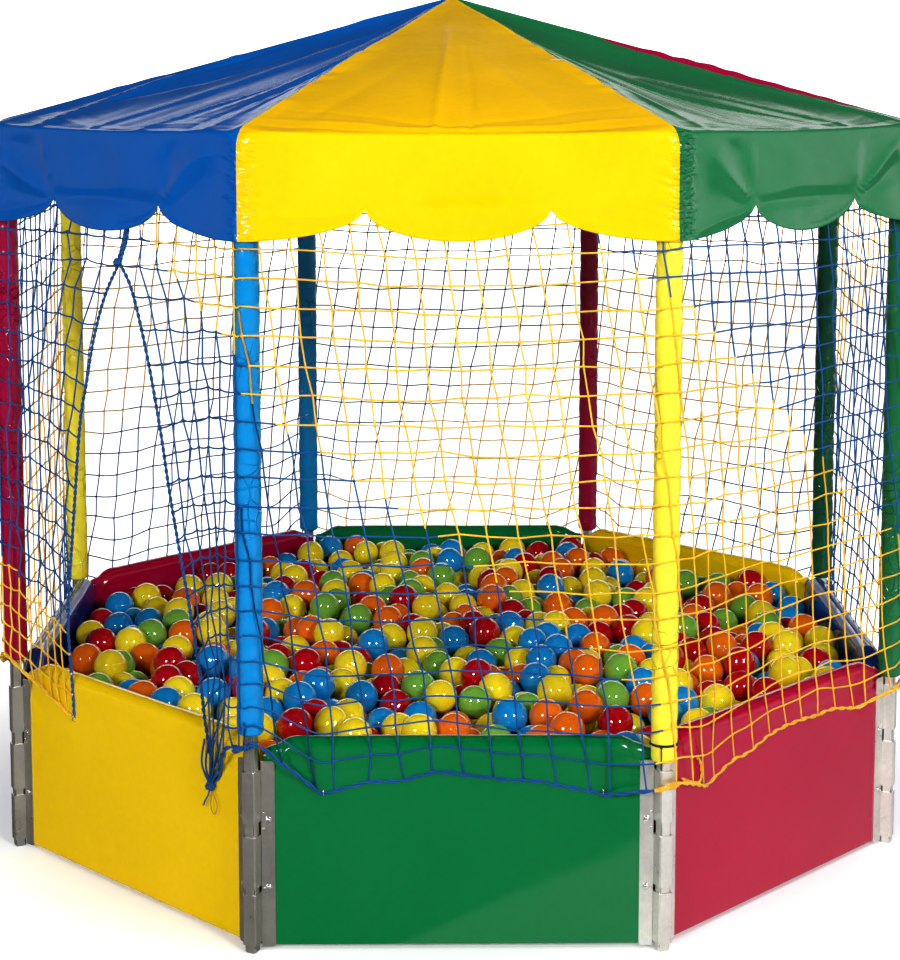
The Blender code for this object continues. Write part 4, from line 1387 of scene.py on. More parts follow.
def placed_shapes(shape, centres, turns, size):
    """Copies of a unit shape at many centres, each turned its own way."""
    points, faces, tips = shape
    copies = np.einsum("nij,vj->nvi", turns, points) * np.reshape(size, (-1, 1, 1)) + centres[:, None, :]
    steps = (np.arange(len(centres)) * len(points))[:, None, None]
    return copies.reshape(-1, 3), (faces + steps).reshape(-1, 4), (tips + steps).reshape(-1, 3)


def random_turns(dice, count):
    """Random rotation matrices, from the columns of random square matrices made orthogonal."""
    turns, upper = np.linalg.qr(dice.normal(size=(count, 3, 3)))
    turns = turns * np.sign(np.diagonal(upper, axis1=1, axis2=2))[:, None, :]
    return turns * np.sign(np.linalg.det(turns))[:, None, None]


# %% Tubes along paths
def tube(path, radius, sides=5):
    """A closed tube along a path: its points, its side faces, and its end triangles."""
    path = np.asarray(path, float)
    ahead = unit(np.gradient(path, axis=0))
    out = path * (1, 1, 0)
    out = unit(out - (out * ahead).sum(axis=1)[:, None] * ahead)
    over = np.cross(ahead, out)
    turn = turns_of(sides)
    reach = np.broadcast_to(radius, len(path))[:, None, None]
    ring = out[:, None] * np.cos(turn)[None, :, None] + over[:, None] * np.sin(turn)[None, :, None]
    points = np.concatenate(((path[:, None] + reach * ring).reshape(-1, 3), path[[0, -1]]))
    faces = grid_faces(len(path), sides, around=True)
    spin = np.arange(sides)
    first = np.stack((np.roll(spin, -1), spin, np.full(sides, len(points) - 2)), -1)
    last = (len(path) - 1) * sides
    end = np.stack((last + spin, last + np.roll(spin, -1), np.full(sides, len(points) - 1)), -1)
    return points, faces, np.concatenate((first, end))


# %% Bundles
class Bundle:
    """Tubes and knots gathered for one mesh, each with its material number."""

    def __init__(self):
        self.points, self.groups, self.count = [], [], 0

    def add(self, shape, numbers, tip_numbers):
        """Adds points, four-sided faces and triangles."""
        points, faces, tips = shape
        self.groups += [(faces + self.count, numbers), (tips + self.count, tip_numbers)]
        self.points.append(points)
        self.count += len(points)

    def tube(self, path, radius, numbers=0, sides=5):
        """Adds a tube whose material may change from one length of the path to the next."""
        numbers = np.broadcast_to(numbers, len(path) - 1)
        tips = np.repeat((numbers[0], numbers[-1]), sides)
        self.add(tube(path, radius, sides), np.repeat(numbers, sides), tips)

    def lumps(self, shape, centres, turns, size, numbers):
        """Adds a copy of a unit shape at each centre."""
        _, faces, tips = shape
        numbers = np.broadcast_to(numbers, len(centres))
        placed = placed_shapes(shape, centres, turns, size)
        self.add(placed, np.repeat(numbers, len(faces)), np.repeat(numbers, len(tips)))

    def mesh(self, name):
        """The finished mesh."""
        return mesh_of(name, np.concatenate(self.points), *self.groups)


# %% Ball plastic
BALL_ROUGHNESS = 0.04
BALL_SPREAD = 0.02
BALL_TONE = 0.16
BALL_SHINE = 0.9
BALL_GLOW = 0.12
GLOW_REACH = 0.012


def ball_plastic(name, colour):
    """Thin glossy blow-moulded plastic that lets a little light through."""
    made, tree, shader = handled_surface(name, colour, BALL_ROUGHNESS, BALL_SPREAD, BALL_TONE)
    feed(tree, shader, {"Subsurface Weight": BALL_GLOW, "Subsurface Radius": (GLOW_REACH,) * 3})
    feed(tree, shader, {"Specular IOR Level": BALL_SHINE})
    return made


# %% Place the balls
SEEN_DEPTH = 0.170
ball_dice = np.random.default_rng(LOWER_SEED + 1)
ball_names = list(BALL_COLOURS)
colour_draw = [ball_names.index(colour) for colour in COLOUR_DRAW]
top_picks = [ball_names.index(colour) for colour in top_colours]
ball_picks = np.concatenate((top_picks, ball_dice.choice(colour_draw, len(lower_places))))
ball_turns = random_turns(ball_dice, len(balls))
balls_seen = balls[:, 2] > fill_surface(balls) - SEEN_DEPTH


def build_balls(number, colour):
    """All balls of one colour in one mesh, with the hidden ones made of fewer faces."""
    bundle = Bundle()
    for shape, chosen in ((fine_ball, balls_seen), (coarse_ball, ~balls_seen)):
        mine = (ball_picks == number) & chosen
        bundle.lumps(shape, balls[mine], ball_turns[mine], ball_sizes[mine], 0)
    name = "balls_" + colour
    plastic = ball_plastic("ball_" + colour, BALL_COLOURS[colour])
    return piece(name, bundle.mesh(name), "base", "balls", [plastic], "ball_fill")


ball_pieces = [build_balls(number, colour) for number, colour in enumerate(ball_names)]
print("ball pieces:", [(made.name, len(made.data.polygons)) for made in ball_pieces])

# %% [markdown]
# The net is knotted from thin twine with meshes of about six centimetres. It runs round the outside of the
# poles, so it is drawn on a belt: a distance round the pit, a height and a distance out of the belt's line.
# A function turns those into places, straight along each face and round each sleeve. The strands lean, sag
# and kink a little at every knot, and the colour changes from blue to yellow along slanting bands.

# %% The belt
NET_OUT = 0.0308
NET_COLUMNS = 14
POLE_ARC = NET_OUT * FACE_TURN
BELT_FACE = SIDE + POLE_ARC
BELT = SIDES * BELT_FACE
COLUMN_STEP = BELT_FACE / NET_COLUMNS
BAND_WIDTH = SIDES * SIDE / 6
BAND_SLOPE = 0.75
BAND_START = -0.011
BAND_EDGES = BAND_START + BAND_WIDTH * np.arange(8)
BAND_EDGES[6:] += (-0.31, 0.14)
BAND_FOOT = 0.53


def belt_face(around):
    """The number of the face that a place on the belt belongs to, counted to the middle of each pole."""
    return np.floor((around + POLE_ARC / 2) / BELT_FACE).astype(int) % SIDES


def belt_points(around, out, height):
    """Places in the world from a distance round the belt, out of its line, and a height."""
    around, out, height = np.broadcast_arrays(np.asarray(around, float) % BELT, out, height)
    face = np.floor(around / BELT_FACE)
    along = around - face * BELT_FACE
    flat = np.minimum(along, SIDE) - SIDE / 2
    bend = np.maximum(along - SIDE, 0) / NET_OUT
    looks = face * FACE_TURN - math.pi / 2
    base = APOTHEM * np.stack((np.cos(looks), np.sin(looks)), -1)
    base = base + flat[..., None] * np.stack((-np.sin(looks), np.cos(looks)), -1)
    ways = np.stack((np.cos(looks + bend), np.sin(looks + bend)), -1)
    level = base + ways * (NET_OUT + out)[..., None]
    return np.concatenate((level, height[..., None]), -1)


def twine_colour(around, height):
    """0 for blue twine and 1 for yellow, in slanting bands round the pit."""
    around = around % BELT
    face = np.floor(around / BELT_FACE)
    along = face * SIDE + np.minimum(around - face * BELT_FACE, SIDE) - SIDE / 2
    place = along + np.maximum(height, BAND_FOOT) / BAND_SLOPE
    return (np.searchsorted(BAND_EDGES, place, side="right") - 1) % 2


print(f"belt: {BELT:.2f} m round, columns {1000 * COLUMN_STEP:.0f} mm apart")

# %% The hem line
HEM_SHARES = (0.0, 0.17, 0.31, 0.45, 0.65, 0.83, 0.94, 1.0)
HEM_HEIGHTS = {
    "front": (0.452, 0.340, 0.367, 0.388, 0.366, 0.340, 0.354, 0.362),
    "front_right": (0.362, 0.318, 0.350, 0.381, 0.382, 0.357, 0.381, 0.410),
    "left": (0.400, 0.352, 0.372, 0.385, 0.372, 0.345, 0.440, 0.465),
    "front_left": (0.470, 0.385, 0.360, 0.360, 0.350, 0.330, 0.432, 0.446),
}
HEM_USUAL = (0.410, 0.345, 0.370, 0.388, 0.368, 0.342, 0.375, 0.410)
HOOK_SHARES = (0.17, 0.83)
HOOK_PULL = 0.036
HOOK_REACH = 0.06


def hem_height(around):
    """The height of the net's hem: hooked down to the panel at two places on each face."""
    around = around % BELT
    face = np.floor(around / BELT_FACE).astype(int)
    share = (around - face * BELT_FACE) / BELT_FACE
    heights = np.array([HEM_HEIGHTS.get(name, HEM_USUAL) for name in FACES])
    after = np.clip(np.searchsorted(HEM_SHARES, share, side="right"), 1, len(HEM_SHARES) - 1)
    starts = np.array(HEM_SHARES)[after - 1]
    part = (share - starts) / (np.array(HEM_SHARES)[after] - starts)
    part = part * part * (3 - 2 * part)
    return heights[face, after - 1] * (1 - part) + heights[face, after] * part


def hook_closeness(around):
    """1 at a hook, 0 away from it, and the signed distance to the nearest hook."""
    along = around % BELT_FACE
    gaps = np.stack([along - share * BELT_FACE for share in HOOK_SHARES])
    nearest = np.take_along_axis(gaps, np.abs(gaps).argmin(axis=0)[None], 0)[0]
    return mound(nearest, HOOK_REACH), nearest


# %% Where the knots are
NET_LEAN = 0.15
NET_SEED = 3
KNOT_SHIFTS = (0.0026, 0.0022, 0.0012)
SLACK = (0.010, 0.008, 0.0035)
ROW_SAG = 0.008
ROW_SLANT = 0.010
TUCK = 0.009
net_dice = np.random.default_rng(NET_SEED)
knot_shift = net_dice.normal(0, 1, (NET_ROWS + 2, SIDES * NET_COLUMNS, 3))


def knot_jitter(column, row, which):
    """One of the knots' own small shifts, in metres, even between one knot and the next."""
    columns = SIDES * NET_COLUMNS
    left = np.floor(column).astype(int)
    top = np.clip(np.floor(row).astype(int), 0, NET_ROWS)
    across, down = column - left, row - top
    pick = knot_shift[..., which]
    upper = pick[top, left % columns] * (1 - across) + pick[top, (left + 1) % columns] * across
    lower = pick[top + 1, left % columns] * (1 - across) + pick[top + 1, (left + 1) % columns] * across
    return KNOT_SHIFTS[which] * (upper * (1 - down) + lower * down)


def tucked_in(height):
    """How far the net lies further in where the cover's apron hangs over it."""
    return TUCK * eased(height, 1.44, 1.51)


def knot_places(column, row):
    """Around, out and height of the net at a column and a row, which needn't be whole numbers."""
    column, row = (np.asarray(value, float) for value in np.broadcast_arrays(column, row))
    down = row / NET_ROWS
    around = column * COLUMN_STEP + NET_LEAN * ROW_STEP * row
    turn = around / BELT * 2 * math.pi
    field = np.stack((np.cos(turn), np.sin(turn), row / 11), -1)
    around = around + SLACK[0] * noise_at(field, 0.35, 31) + knot_jitter(column, row, 0)
    along = (around % BELT_FACE) / BELT_FACE
    span = np.sin(math.pi * np.clip(along / (SIDE / BELT_FACE), 0, 1))
    height = NET_TOP - ROW_STEP * row + (hem_height(around) - NET_LOW) * down ** 5
    height = height - ROW_SAG * span * (1 - down ** 3) - ROW_SLANT * along * span
    height = height + SLACK[1] * noise_at(field, 0.22, 32) * span + knot_jitter(column, row, 1)
    near, gap = hook_closeness(around)
    around = around - 0.55 * gap * near * down ** 8
    out = -HOOK_PULL * eased(span, 0.05, 0.55) * np.clip(down / 0.93, 0, 1) ** 1.6
    out = out + SLACK[2] * noise_at(field, 0.18, 33) * span * (1 - down ** 2) * (down > 0.13)
    out = out + knot_jitter(column, row, 2) * span * (down < 0.9)
    return around, out - tucked_in(height) * span, height


# %% Strands cut into faces
TWINE = 0.00195
KNOT = 0.0034
SPLIT = 3
knot_shape = ball_shape(6, (-38, 0, 38), 0.1)


def face_runs(around, out, height):
    """Cuts a strand where it passes from one face to the next. Gives (face, around, out, height)."""
    face = np.floor((around + POLE_ARC / 2) / BELT_FACE)
    strand = np.stack((around, out, height), -1)
    start = 0
    pieces = [strand[0]]
    for step in range(1, len(strand)):
        if face[step] != face[step - 1]:
            edge = max(face[step], face[step - 1]) * BELT_FACE - POLE_ARC / 2
            part = (edge - strand[step - 1][0]) / (strand[step][0] - strand[step - 1][0])
            cut = strand[step - 1] * (1 - part) + strand[step] * part
            yield int(face[start]) % SIDES, np.array(pieces + [cut])
            pieces = [cut]
            start = step
        pieces.append(strand[step])
    if len(pieces) > 1:
        yield int(face[start]) % SIDES, np.array(pieces)


def add_strand(bundles, around, out, height, radius=TWINE):
    """Adds a strand to the bundles of the faces that it crosses."""
    for face, run in face_runs(around, out, height):
        if face not in bundles or len(run) < 2:
            continue
        middle = (run[1:] + run[:-1]) / 2
        colours = twine_colour(middle[:, 0], middle[:, 2])
        bundles[face].tube(belt_points(run[:, 0], run[:, 1], run[:, 2]), radius, colours)


# %% [markdown]
# The hem is a doubled cord. Each of its two strands is drawn as a helix round the hem line, half a turn
# behind the other, so they lie round each other as real cords do. A path through a few chosen points is
# first made smooth, and then cut into short, even steps.

# %% Smooth paths and twisted cords
def smooth_path(points, step):
    """A smooth path through points, in even steps."""
    points = np.asarray(points, float)
    ends = (2 * points[0] - points[1], 2 * points[-1] - points[-2])
    held = np.concatenate(([ends[0]], points, [ends[1]]))
    share = np.linspace(0, 1, 12, endpoint=False)[:, None]
    runs = []
    for before, first, last, after in zip(held, held[1:], held[2:], held[3:]):
        bow = 2 * before - 5 * first + 4 * last - after
        turn = 3 * first - before - 3 * last + after
        runs.append(first + share * (last - before) / 2 + share ** 2 * bow / 2 + share ** 3 * turn / 2)
    fine = np.concatenate(runs + [points[-1:]])
    gone = lengths_along(fine)
    places = np.linspace(0, gone[-1], max(3, int(gone[-1] / step) + 1))
    return np.stack([np.interp(places, gone, fine[:, axis]) for axis in range(3)], -1)


ODD_WAY = (0.13, 0.21, 0.97)


def twisted(path, reach, pitch, strands=2):
    """The helical paths of the strands of a twisted cord along a path."""
    ahead = unit(np.gradient(path, axis=0))
    side = unit(np.cross(ahead, ODD_WAY))
    other = np.cross(ahead, side)
    gone = lengths_along(path)
    for strand in range(strands):
        turn = 2 * math.pi * (gone / pitch + strand / strands)
        yield path + reach * (side * np.cos(turn)[:, None] + other * np.sin(turn)[:, None])


# %% Tie the net
LAST_FACE = SIDES - 1
HEM_STRAND = 0.0024
HEM_REACH = HEM_STRAND * 0.95
HEM_PITCH = 0.075
HEM_STEP = 0.007
TOP_ROW_SHARE = 1.6
KNOT_SET = 0.0008
whole = {index: Bundle() for index in range(LAST_FACE)}
all_columns = np.arange(-4, SIDES * NET_COLUMNS)


def whole_row(row):
    """One row of the net all round the belt, from the left end of the front face."""
    places = np.arange(-4 * SPLIT, SIDES * NET_COLUMNS * SPLIT + 1) / SPLIT
    around, out, height = knot_places(places, row)
    inside = (around >= -POLE_ARC / 2 - 0.05) & (around <= BELT - POLE_ARC / 2 + 0.03)
    return around[inside], out[inside], height[inside]


def tie_strands():
    """The net's columns and rows. Its top row is a thicker cord."""
    fine_rows = np.arange(NET_ROWS * SPLIT + 1) / SPLIT
    for column in all_columns:
        add_strand(whole, *knot_places(column, fine_rows))
    for row in range(NET_ROWS):
        add_strand(whole, *whole_row(row), TWINE * (TOP_ROW_SHARE if row == 0 else 1.0))


def tie_hem():
    """The doubled cord that the last row is knotted to."""
    for face, run in face_runs(*whole_row(NET_ROWS)):
        if face not in whole:
            continue
        hem = smooth_path(belt_points(*run.T), HEM_STEP)
        middle = np.interp(np.linspace(0, 1, len(hem)), np.linspace(0, 1, len(run)), run[:, 0])
        colours = twine_colour(middle[:-1], hem[:-1, 2])
        for strand in twisted(hem, HEM_REACH, HEM_PITCH):
            whole[face].tube(strand, HEM_STRAND, colours, 7)


def tie_knots():
    """A small lump wherever a column and a row are knotted."""
    columns, rows = np.meshgrid(all_columns.astype(float), np.arange(NET_ROWS + 1.0))
    around, out, height = (values.ravel() for values in knot_places(columns, rows))
    face_of_knot = belt_face(around)
    inside = (around > -POLE_ARC / 2) & (around < BELT - POLE_ARC / 2)
    for index, bundle in whole.items():
        mine = (face_of_knot == index) & inside
        centres = belt_points(around[mine], out[mine] + KNOT_SET, height[mine])
        colours = twine_colour(around[mine], height[mine])
        bundle.lumps(knot_shape, centres, random_turns(net_dice, len(centres)), KNOT, colours)


tie_strands()
tie_hem()
tie_knots()
print("net:", sum(bundle.count for bundle in whole.values()), "points on the closed faces")

# %% [markdown]
# The entrance is a slit in the net of one face, with a rope along each side. The two ropes meet in a knot
# that a strap holds up, and each is drawn aside: the left one to a hook on the panel, the right one to a
# bunch with a knot. Across a flap, the net's columns keep their share of the way from the pole to the rope at
# every height, so they crowd together where the rope comes near the pole.

# %% The slit's ropes
SLIT_APEX = (0.471, 1.415)
LEFT_ROPE = (
    SLIT_APEX, (0.416, 1.339), (0.370, 1.242), (0.338, 1.144), (0.306, 1.045), (0.270, 0.856),
    (0.233, 0.671), (0.219, 0.579), (0.217, 0.520), (0.222, 0.420), (0.226, 0.357),
)
RIGHT_ROPE = (
    SLIT_APEX, (0.513, 1.355), (0.557, 1.226), (0.594, 1.071), (0.617, 0.941), (0.647, 0.795),
    (0.670, 0.682), (0.688, 0.576), (0.698, 0.460), (0.714, 0.390), (0.723, 0.324),
)
LEFT_HEM = ((0.0, 0.470), (0.17, 0.460), (0.34, 0.422), (0.65, 0.381), (1.0, 0.357))
RIGHT_HEM = ((0.0, 0.445), (0.35, 0.431), (0.70, 0.396), (1.0, 0.324))
BUNCH = (0.723, 0.324)
FLAP_COLUMNS = (8, 6)
FLAP_FALL = 0.045
FLAP_PULL = 0.034
FLAP_SHIFTS = (0.0030, 0.0034, 0.0030)
APEX_ROW = 4
FALL_STARTS = (APEX_ROW, 9)
FALL_ENDS = 17
BUNCH_ROW = 18.6
STRAND_SAG = 0.010
ROPE_STRAND = 0.0021
ROPE_REACH = ROPE_STRAND * 0.95
ROPE_PITCH = 0.030
ENTRANCE = LAST_FACE * BELT_FACE


def rope_along(side, height):
    """How far along the face a rope of the slit is, at a height."""
    along, heights = np.array(RIGHT_ROPE if side else LEFT_ROPE).T
    return np.interp(height, heights[::-1], along[::-1])


# %% The entrance's knots
def flap_knots(side, share, row):
    """Around, out and height of a flap's net. The share is 0 at the flap's pole and 1 at its rope."""
    down = row / NET_ROWS
    inner = np.maximum(share, 0)
    hem = np.interp(inner, *np.array(RIGHT_HEM if side else LEFT_HEM).T)
    fall = FLAP_FALL * inner ** 2 * eased(row, *FALL_STARTS) * (1 - eased(row, FALL_ENDS, NET_ROWS))
    height = NET_TOP - ROW_STEP * row - fall + (hem - NET_LOW) * down ** 5
    edge = rope_along(side, height)
    along = SIDE - share * (SIDE - edge) if side else share * edge
    if side:
        pull = eased(row, BUNCH_ROW, NET_ROWS) * eased(share, 0.30, 0.62)
        along = along + (BUNCH[0] - along) * pull
        height = height + (BUNCH[1] - height) * pull
    reach = np.minimum(along, SIDE - along)
    free = eased(reach, 0.02, 0.14)
    out = -FLAP_PULL * free * np.clip(down / 0.93, 0, 1) ** 2
    return ENTRANCE + along, out - tucked_in(height) * free, height


def flap_grid(side, first_row, last_row, wild):
    """The knots of a flap or of the net above it, with the small shifts of hand-tied net."""
    count = FLAP_COLUMNS[side]
    arc = POLE_ARC / 2 / (0.36 * SIDE)
    shares = np.concatenate(([-arc], np.arange(count + 1) / count))
    share, row = np.meshgrid(shares, np.arange(first_row, last_row + 1.0))
    around, out, height = flap_knots(side, share, row)
    shift = np.random.default_rng(NET_SEED + 7 * side).normal(0, 1, (3, NET_ROWS + 1, count + 2))
    shift = shift[:, first_row:last_row + 1] * wild
    free = (share > 0.02) & (share < 0.98)
    around = around + FLAP_SHIFTS[0] * shift[0] * free
    height = height + FLAP_SHIFTS[1] * shift[1] * free
    out = out + FLAP_SHIFTS[2] * shift[2] * free
    return np.stack((around, out, height), -1)


# %% Ways to tie
def spread(knots, sag):
    """A strand through knots, with two more points and a little sag between each knot and the next."""
    part = np.arange(SPLIT)[:, None] / SPLIT
    drop = (0, 0, sag) * part * (1 - part)
    runs = [first + part * (last - first) - drop for first, last in zip(knots, knots[1:])]
    return np.concatenate(runs + [knots[-1:]])


def tie_flap(bundle, side, grid, with_rope):
    """Adds a grid of knots and its strands to a bundle. The rope's own column is left to the rope."""
    columns = [spread(grid[:, number], 0) for number in range(1, grid.shape[1] - (1 if with_rope else side))]
    rows = [spread(knots, STRAND_SAG) for knots in (grid[:-1] if with_rope else grid)]
    for strand in columns + rows:
        bundle.tube(belt_points(*strand.T), TWINE, twine_colour(strand[:-1, 0], strand[:-1, 2]))
    inner = grid[:, 1:].reshape(-1, 3)
    lumps = belt_points(*inner.T)
    colours = twine_colour(inner[:, 0], inner[:, 2])
    bundle.lumps(knot_shape, lumps, random_turns(net_dice, len(lumps)), KNOT, colours)


def add_twisted(bundle, path, reach, radius, pitch, number, strands=2):
    """Adds a twisted cord of one colour along a path in the world."""
    for strand in twisted(path, reach, pitch, strands):
        bundle.tube(strand, radius, number, 7)


def on_entrance(points, out):
    """Places in the world of points on the entrance face, each (along, height), at distances out."""
    along, height = np.array(points).T
    return belt_points(ENTRANCE + along, np.broadcast_to(out, along.shape), height)


# %% Tie the entrance's net
strip = Bundle()
flaps = (Bundle(), Bundle())


def tie_side(side):
    """One side of the entrance: the net above its flap, the flap, its rope and its hem."""
    tie_flap(strip, side, flap_grid(side, 0, APEX_ROW - 1, 0.6), False)
    grid = flap_grid(side, APEX_ROW - 1, NET_ROWS, 1.0)
    tie_flap(flaps[side], side, grid, True)
    rope = np.array(RIGHT_ROPE if side else LEFT_ROPE)
    down = np.clip((NET_TOP - rope[:, 1]) / (NET_TOP - NET_LOW), 0, 1)
    path = smooth_path(on_entrance(rope, -FLAP_PULL * np.clip(down / 0.93, 0, 1) ** 2), 0.004)
    add_twisted(flaps[side], path, ROPE_REACH, ROPE_STRAND, ROPE_PITCH, 0)
    hem = smooth_path(belt_points(*spread(grid[-1], 0.0).T)[::2], HEM_STEP)
    add_twisted(flaps[side], hem, HEM_REACH, HEM_STRAND, HEM_PITCH, 0 if side else 1)


tie_side(0)
tie_side(1)
print("entrance: flaps of", [flap.count for flap in flaps], "points")

# %% Strap, knots and bunch
STRAP = ((0.492, 1.638), (0.489, 1.560), (0.485, 1.478), (0.474, 1.432), (0.471, 1.412))
STRAP_OUT = (-0.012, -0.012, -0.011, -0.004, 0.001)
STRAP_REACH = 0.0036
STRAP_STRAND = 0.0030
STRAP_PITCH = 0.034
STRAP_KNOT = 0.0075
SLIT_KNOT = 0.0085
BUNCH_KNOT = 0.0100
BUNCH_OUT = -0.026
BUNCH_LEANS = (-0.014, -0.004, 0.007, 0.016, 0.026)
BUNCH_BOW = (BUNCH_OUT - 0.004, BUNCH_OUT + 0.004, BUNCH_OUT)
BUNCH_RISE = 0.105
WOUND_TURNS = ((0.3, 0.0), (-0.7, 1.1), (1.2, 2.3))
knot_lump = ball_shape(14, (-66, -44, -22, 0, 22, 44, 66), 0.0)


def rope_knot(bundle, centre, size):
    """A knot in a rope: a fat lump with three turns of cord wound round it."""
    bundle.lumps(knot_lump, np.array([centre]), np.eye(3)[None], size * 0.8, 0)
    turn = np.linspace(0, 2 * math.pi, 30)
    for tilt, lean in WOUND_TURNS:
        ring = level_ways(turn) * size * 0.85
        spin = Matrix.Rotation(lean, 3, "Z") @ Matrix.Rotation(tilt, 3, "X")
        bundle.tube(ring @ np.array(spin).T + centre, size * 0.33, 0, 7)


strap_path = smooth_path(on_entrance(STRAP, STRAP_OUT), 0.004)
add_twisted(strip, strap_path, STRAP_REACH, STRAP_STRAND, STRAP_PITCH, 0, 3)
rope_knot(strip, on_entrance([STRAP[0]], STRAP_OUT[0])[0], STRAP_KNOT)
rope_knot(flaps[1], on_entrance([SLIT_APEX], 0.004)[0], SLIT_KNOT)
rope_knot(flaps[1], on_entrance([BUNCH], BUNCH_OUT)[0], BUNCH_KNOT)
for lean in BUNCH_LEANS:
    top = (BUNCH[0] + lean * 1.6, BUNCH[1] + BUNCH_RISE - 0.6 * abs(lean))
    bow = (BUNCH[0] + lean * 1.3 - 0.004, BUNCH[1] + 0.045)
    flaps[1].tube(smooth_path(on_entrance([top, bow, BUNCH], BUNCH_BOW), 0.006), TWINE * 1.15, 0, 6)
print("strap:", len(strap_path), "steps, bunch of", len(BUNCH_LEANS), "strands")

# %% Twine finish
def twine(name, colour, roughness=0.5):
    """Twisted polyethylene twine: a soft shine, and a fine slanting grain for its twist."""
    made, tree, shader = handled_surface(name, colour, roughness, 0.12, 0.3)
    place = node(tree, "TexCoord").outputs["Object"]
    grain = node(tree, "TexWave", {"Vector": place, "Scale": 260.0, "Distortion": 2.0, "Detail": 2.0})
    bump = node(tree, "Bump", {"Height": grain.outputs["Fac"], "Distance": 0.0006, "Strength": 0.7})
    feed(tree, shader, {"Normal": bump.outputs["Normal"]})
    return made


# %% Net pieces
net_twine = [twine("twine_blue", (0.005, 0.095, 0.33)), twine("twine_yellow", (1.0, 0.60, 0.04))]
net_pieces = []
for index, bundle in whole.items():
    net_name = "net_" + FACES[index]
    net_mesh = bundle.mesh(net_name)
    net_pieces.append(piece("knotted_" + net_name, net_mesh, "base", "net", net_twine, net_name))
piece("knotted_net_above_entrance", strip.mesh("net_strip"), "base", "net", net_twine)
for hand, flap in zip(("left", "right"), flaps):
    flap_name = "flap_" + hand
    piece("knotted_" + flap_name, flap.mesh(flap_name), flap_name, "net", net_twine, "entrance_" + flap_name)
print("net pieces:", [len(made.data.polygons) for made in net_pieces])

# %% [markdown]
# Two loose ends hang from the knot of the bunch: the short tail of its cord, and a thin tan loop. They
# are free cords, each a tube of its own thickness.

# %% Loose ends of the bunch
tan_twine = twine("twine_tan", (0.36, 0.22, 0.07))
TAIL = ((0.721, 0.316), (0.714, 0.300), (0.705, 0.288), (0.699, 0.276))
TAIL_RADIUS = 0.0019
LOOP = (
    (0.729, 0.314), (0.737, 0.304), (0.744, 0.290), (0.742, 0.274),
    (0.734, 0.266), (0.726, 0.274), (0.724, 0.290), (0.728, 0.306),
)
LOOP_RADIUS = 0.0010


def loose_end(name, points, radius, material):
    """A short free cord at the bunch."""
    route = smooth_path(on_entrance(points, BUNCH_OUT), 0.002)
    bundle = Bundle()
    bundle.tube(route, radius, 0, 9)
    made = piece(name, bundle.mesh(name), "flap_right", "net", [material])


loose_end("bunch_tail", TAIL, TAIL_RADIUS, net_twine[0])
loose_end("bunch_loop", LOOP, LOOP_RADIUS, tan_twine)

# %% [markdown]
# The hem is held down by small steel hooks on the panels and lashed at every pole: a few close turns of cord
# round both strands of the hem. A thin black tie holds the lower end of one sleeve.

# %% Hooks
HOOK_WIRE = 0.0013
HOOK_SHAPE = ((-0.004, -0.006), (0.006, -0.0065), (0.0095, -0.001), (0.0075, 0.006))
PANEL_SURFACE = PANEL_MIDDLE + PANEL_DEEP
HOOK_SINK = 0.001
HOOK_FOOT = 0.0045
HOOK_FOOT_RISE = 0.0030
hook_bundle = Bundle()
dome = ball_shape(20, (0, 18, 36, 54, 72), 0.0)


def add_dome(bundle, place, away, radius, rise):
    """A round head on a face: a flattened half ball that looks along a direction."""
    points, faces, tips = dome
    turn = np.array(Vector(away).to_track_quat("Z", "Y").to_matrix())
    shaped = (points * (radius, radius, rise)) @ turn.T + place
    shaped[-2] = place - away * rise * 0.3
    bundle.add((shaped, faces, tips), 0, 0)


def add_hook(index, along, height):
    """One wire hook with a round foot, on the face of a panel."""
    out = face_axes(index)[1]
    foot = on_face(index, along, PANEL_SURFACE, height + HOOK_SHAPE[0][1])
    path = [foot + out * reach + np.array((0, 0, rise - HOOK_SHAPE[0][1])) for reach, rise in HOOK_SHAPE]
    hook_bundle.tube(smooth_path(path, 0.0015), HOOK_WIRE, 0, 8)
    add_dome(hook_bundle, foot - out * HOOK_SINK, out, HOOK_FOOT, HOOK_FOOT_RISE)


for index in whole:
    for share in HOOK_SHARES:
        hem_here = hem_height(np.array([index * BELT_FACE + share * BELT_FACE]))[0]
        add_hook(index, share * BELT_FACE - SIDE / 2, float(hem_here))
add_hook(LAST_FACE, LEFT_ROPE[-1][0] - SIDE / 2, LEFT_ROPE[-1][1])
print("hooks:", hook_bundle.count, "points")

# %% Lashings
LASH_TURNS = 9
LASH_LENGTH = 0.045
LASH_RADIUS = 0.0056
LASH_CORD = 0.0021
LASH_SET = 0.006
FRAY = ((0.060, 0.352), (0.095, 0.336), (0.119, 0.330), (0.127, 0.346), (0.122, 0.372), (0.113, 0.384))
FRAY_OUT = -0.030
lash_bundles = (Bundle(), Bundle())


def add_lashing(index):
    """A cord wound closely round the hem at the corner to the right of a face."""
    edge = (index * BELT_FACE + BELT_FACE - POLE_ARC / 2) % BELT
    around = edge - LASH_SET + np.linspace(-0.5, 0.5, 7) * LASH_LENGTH
    heights = hem_height(around)
    route = smooth_path(belt_points(around, 0.0, heights), 0.0012)
    colour = int(twine_colour(edge, heights[3]))
    add_twisted(lash_bundles[colour], route, LASH_RADIUS, LASH_CORD, LASH_LENGTH / LASH_TURNS, 0, 1)


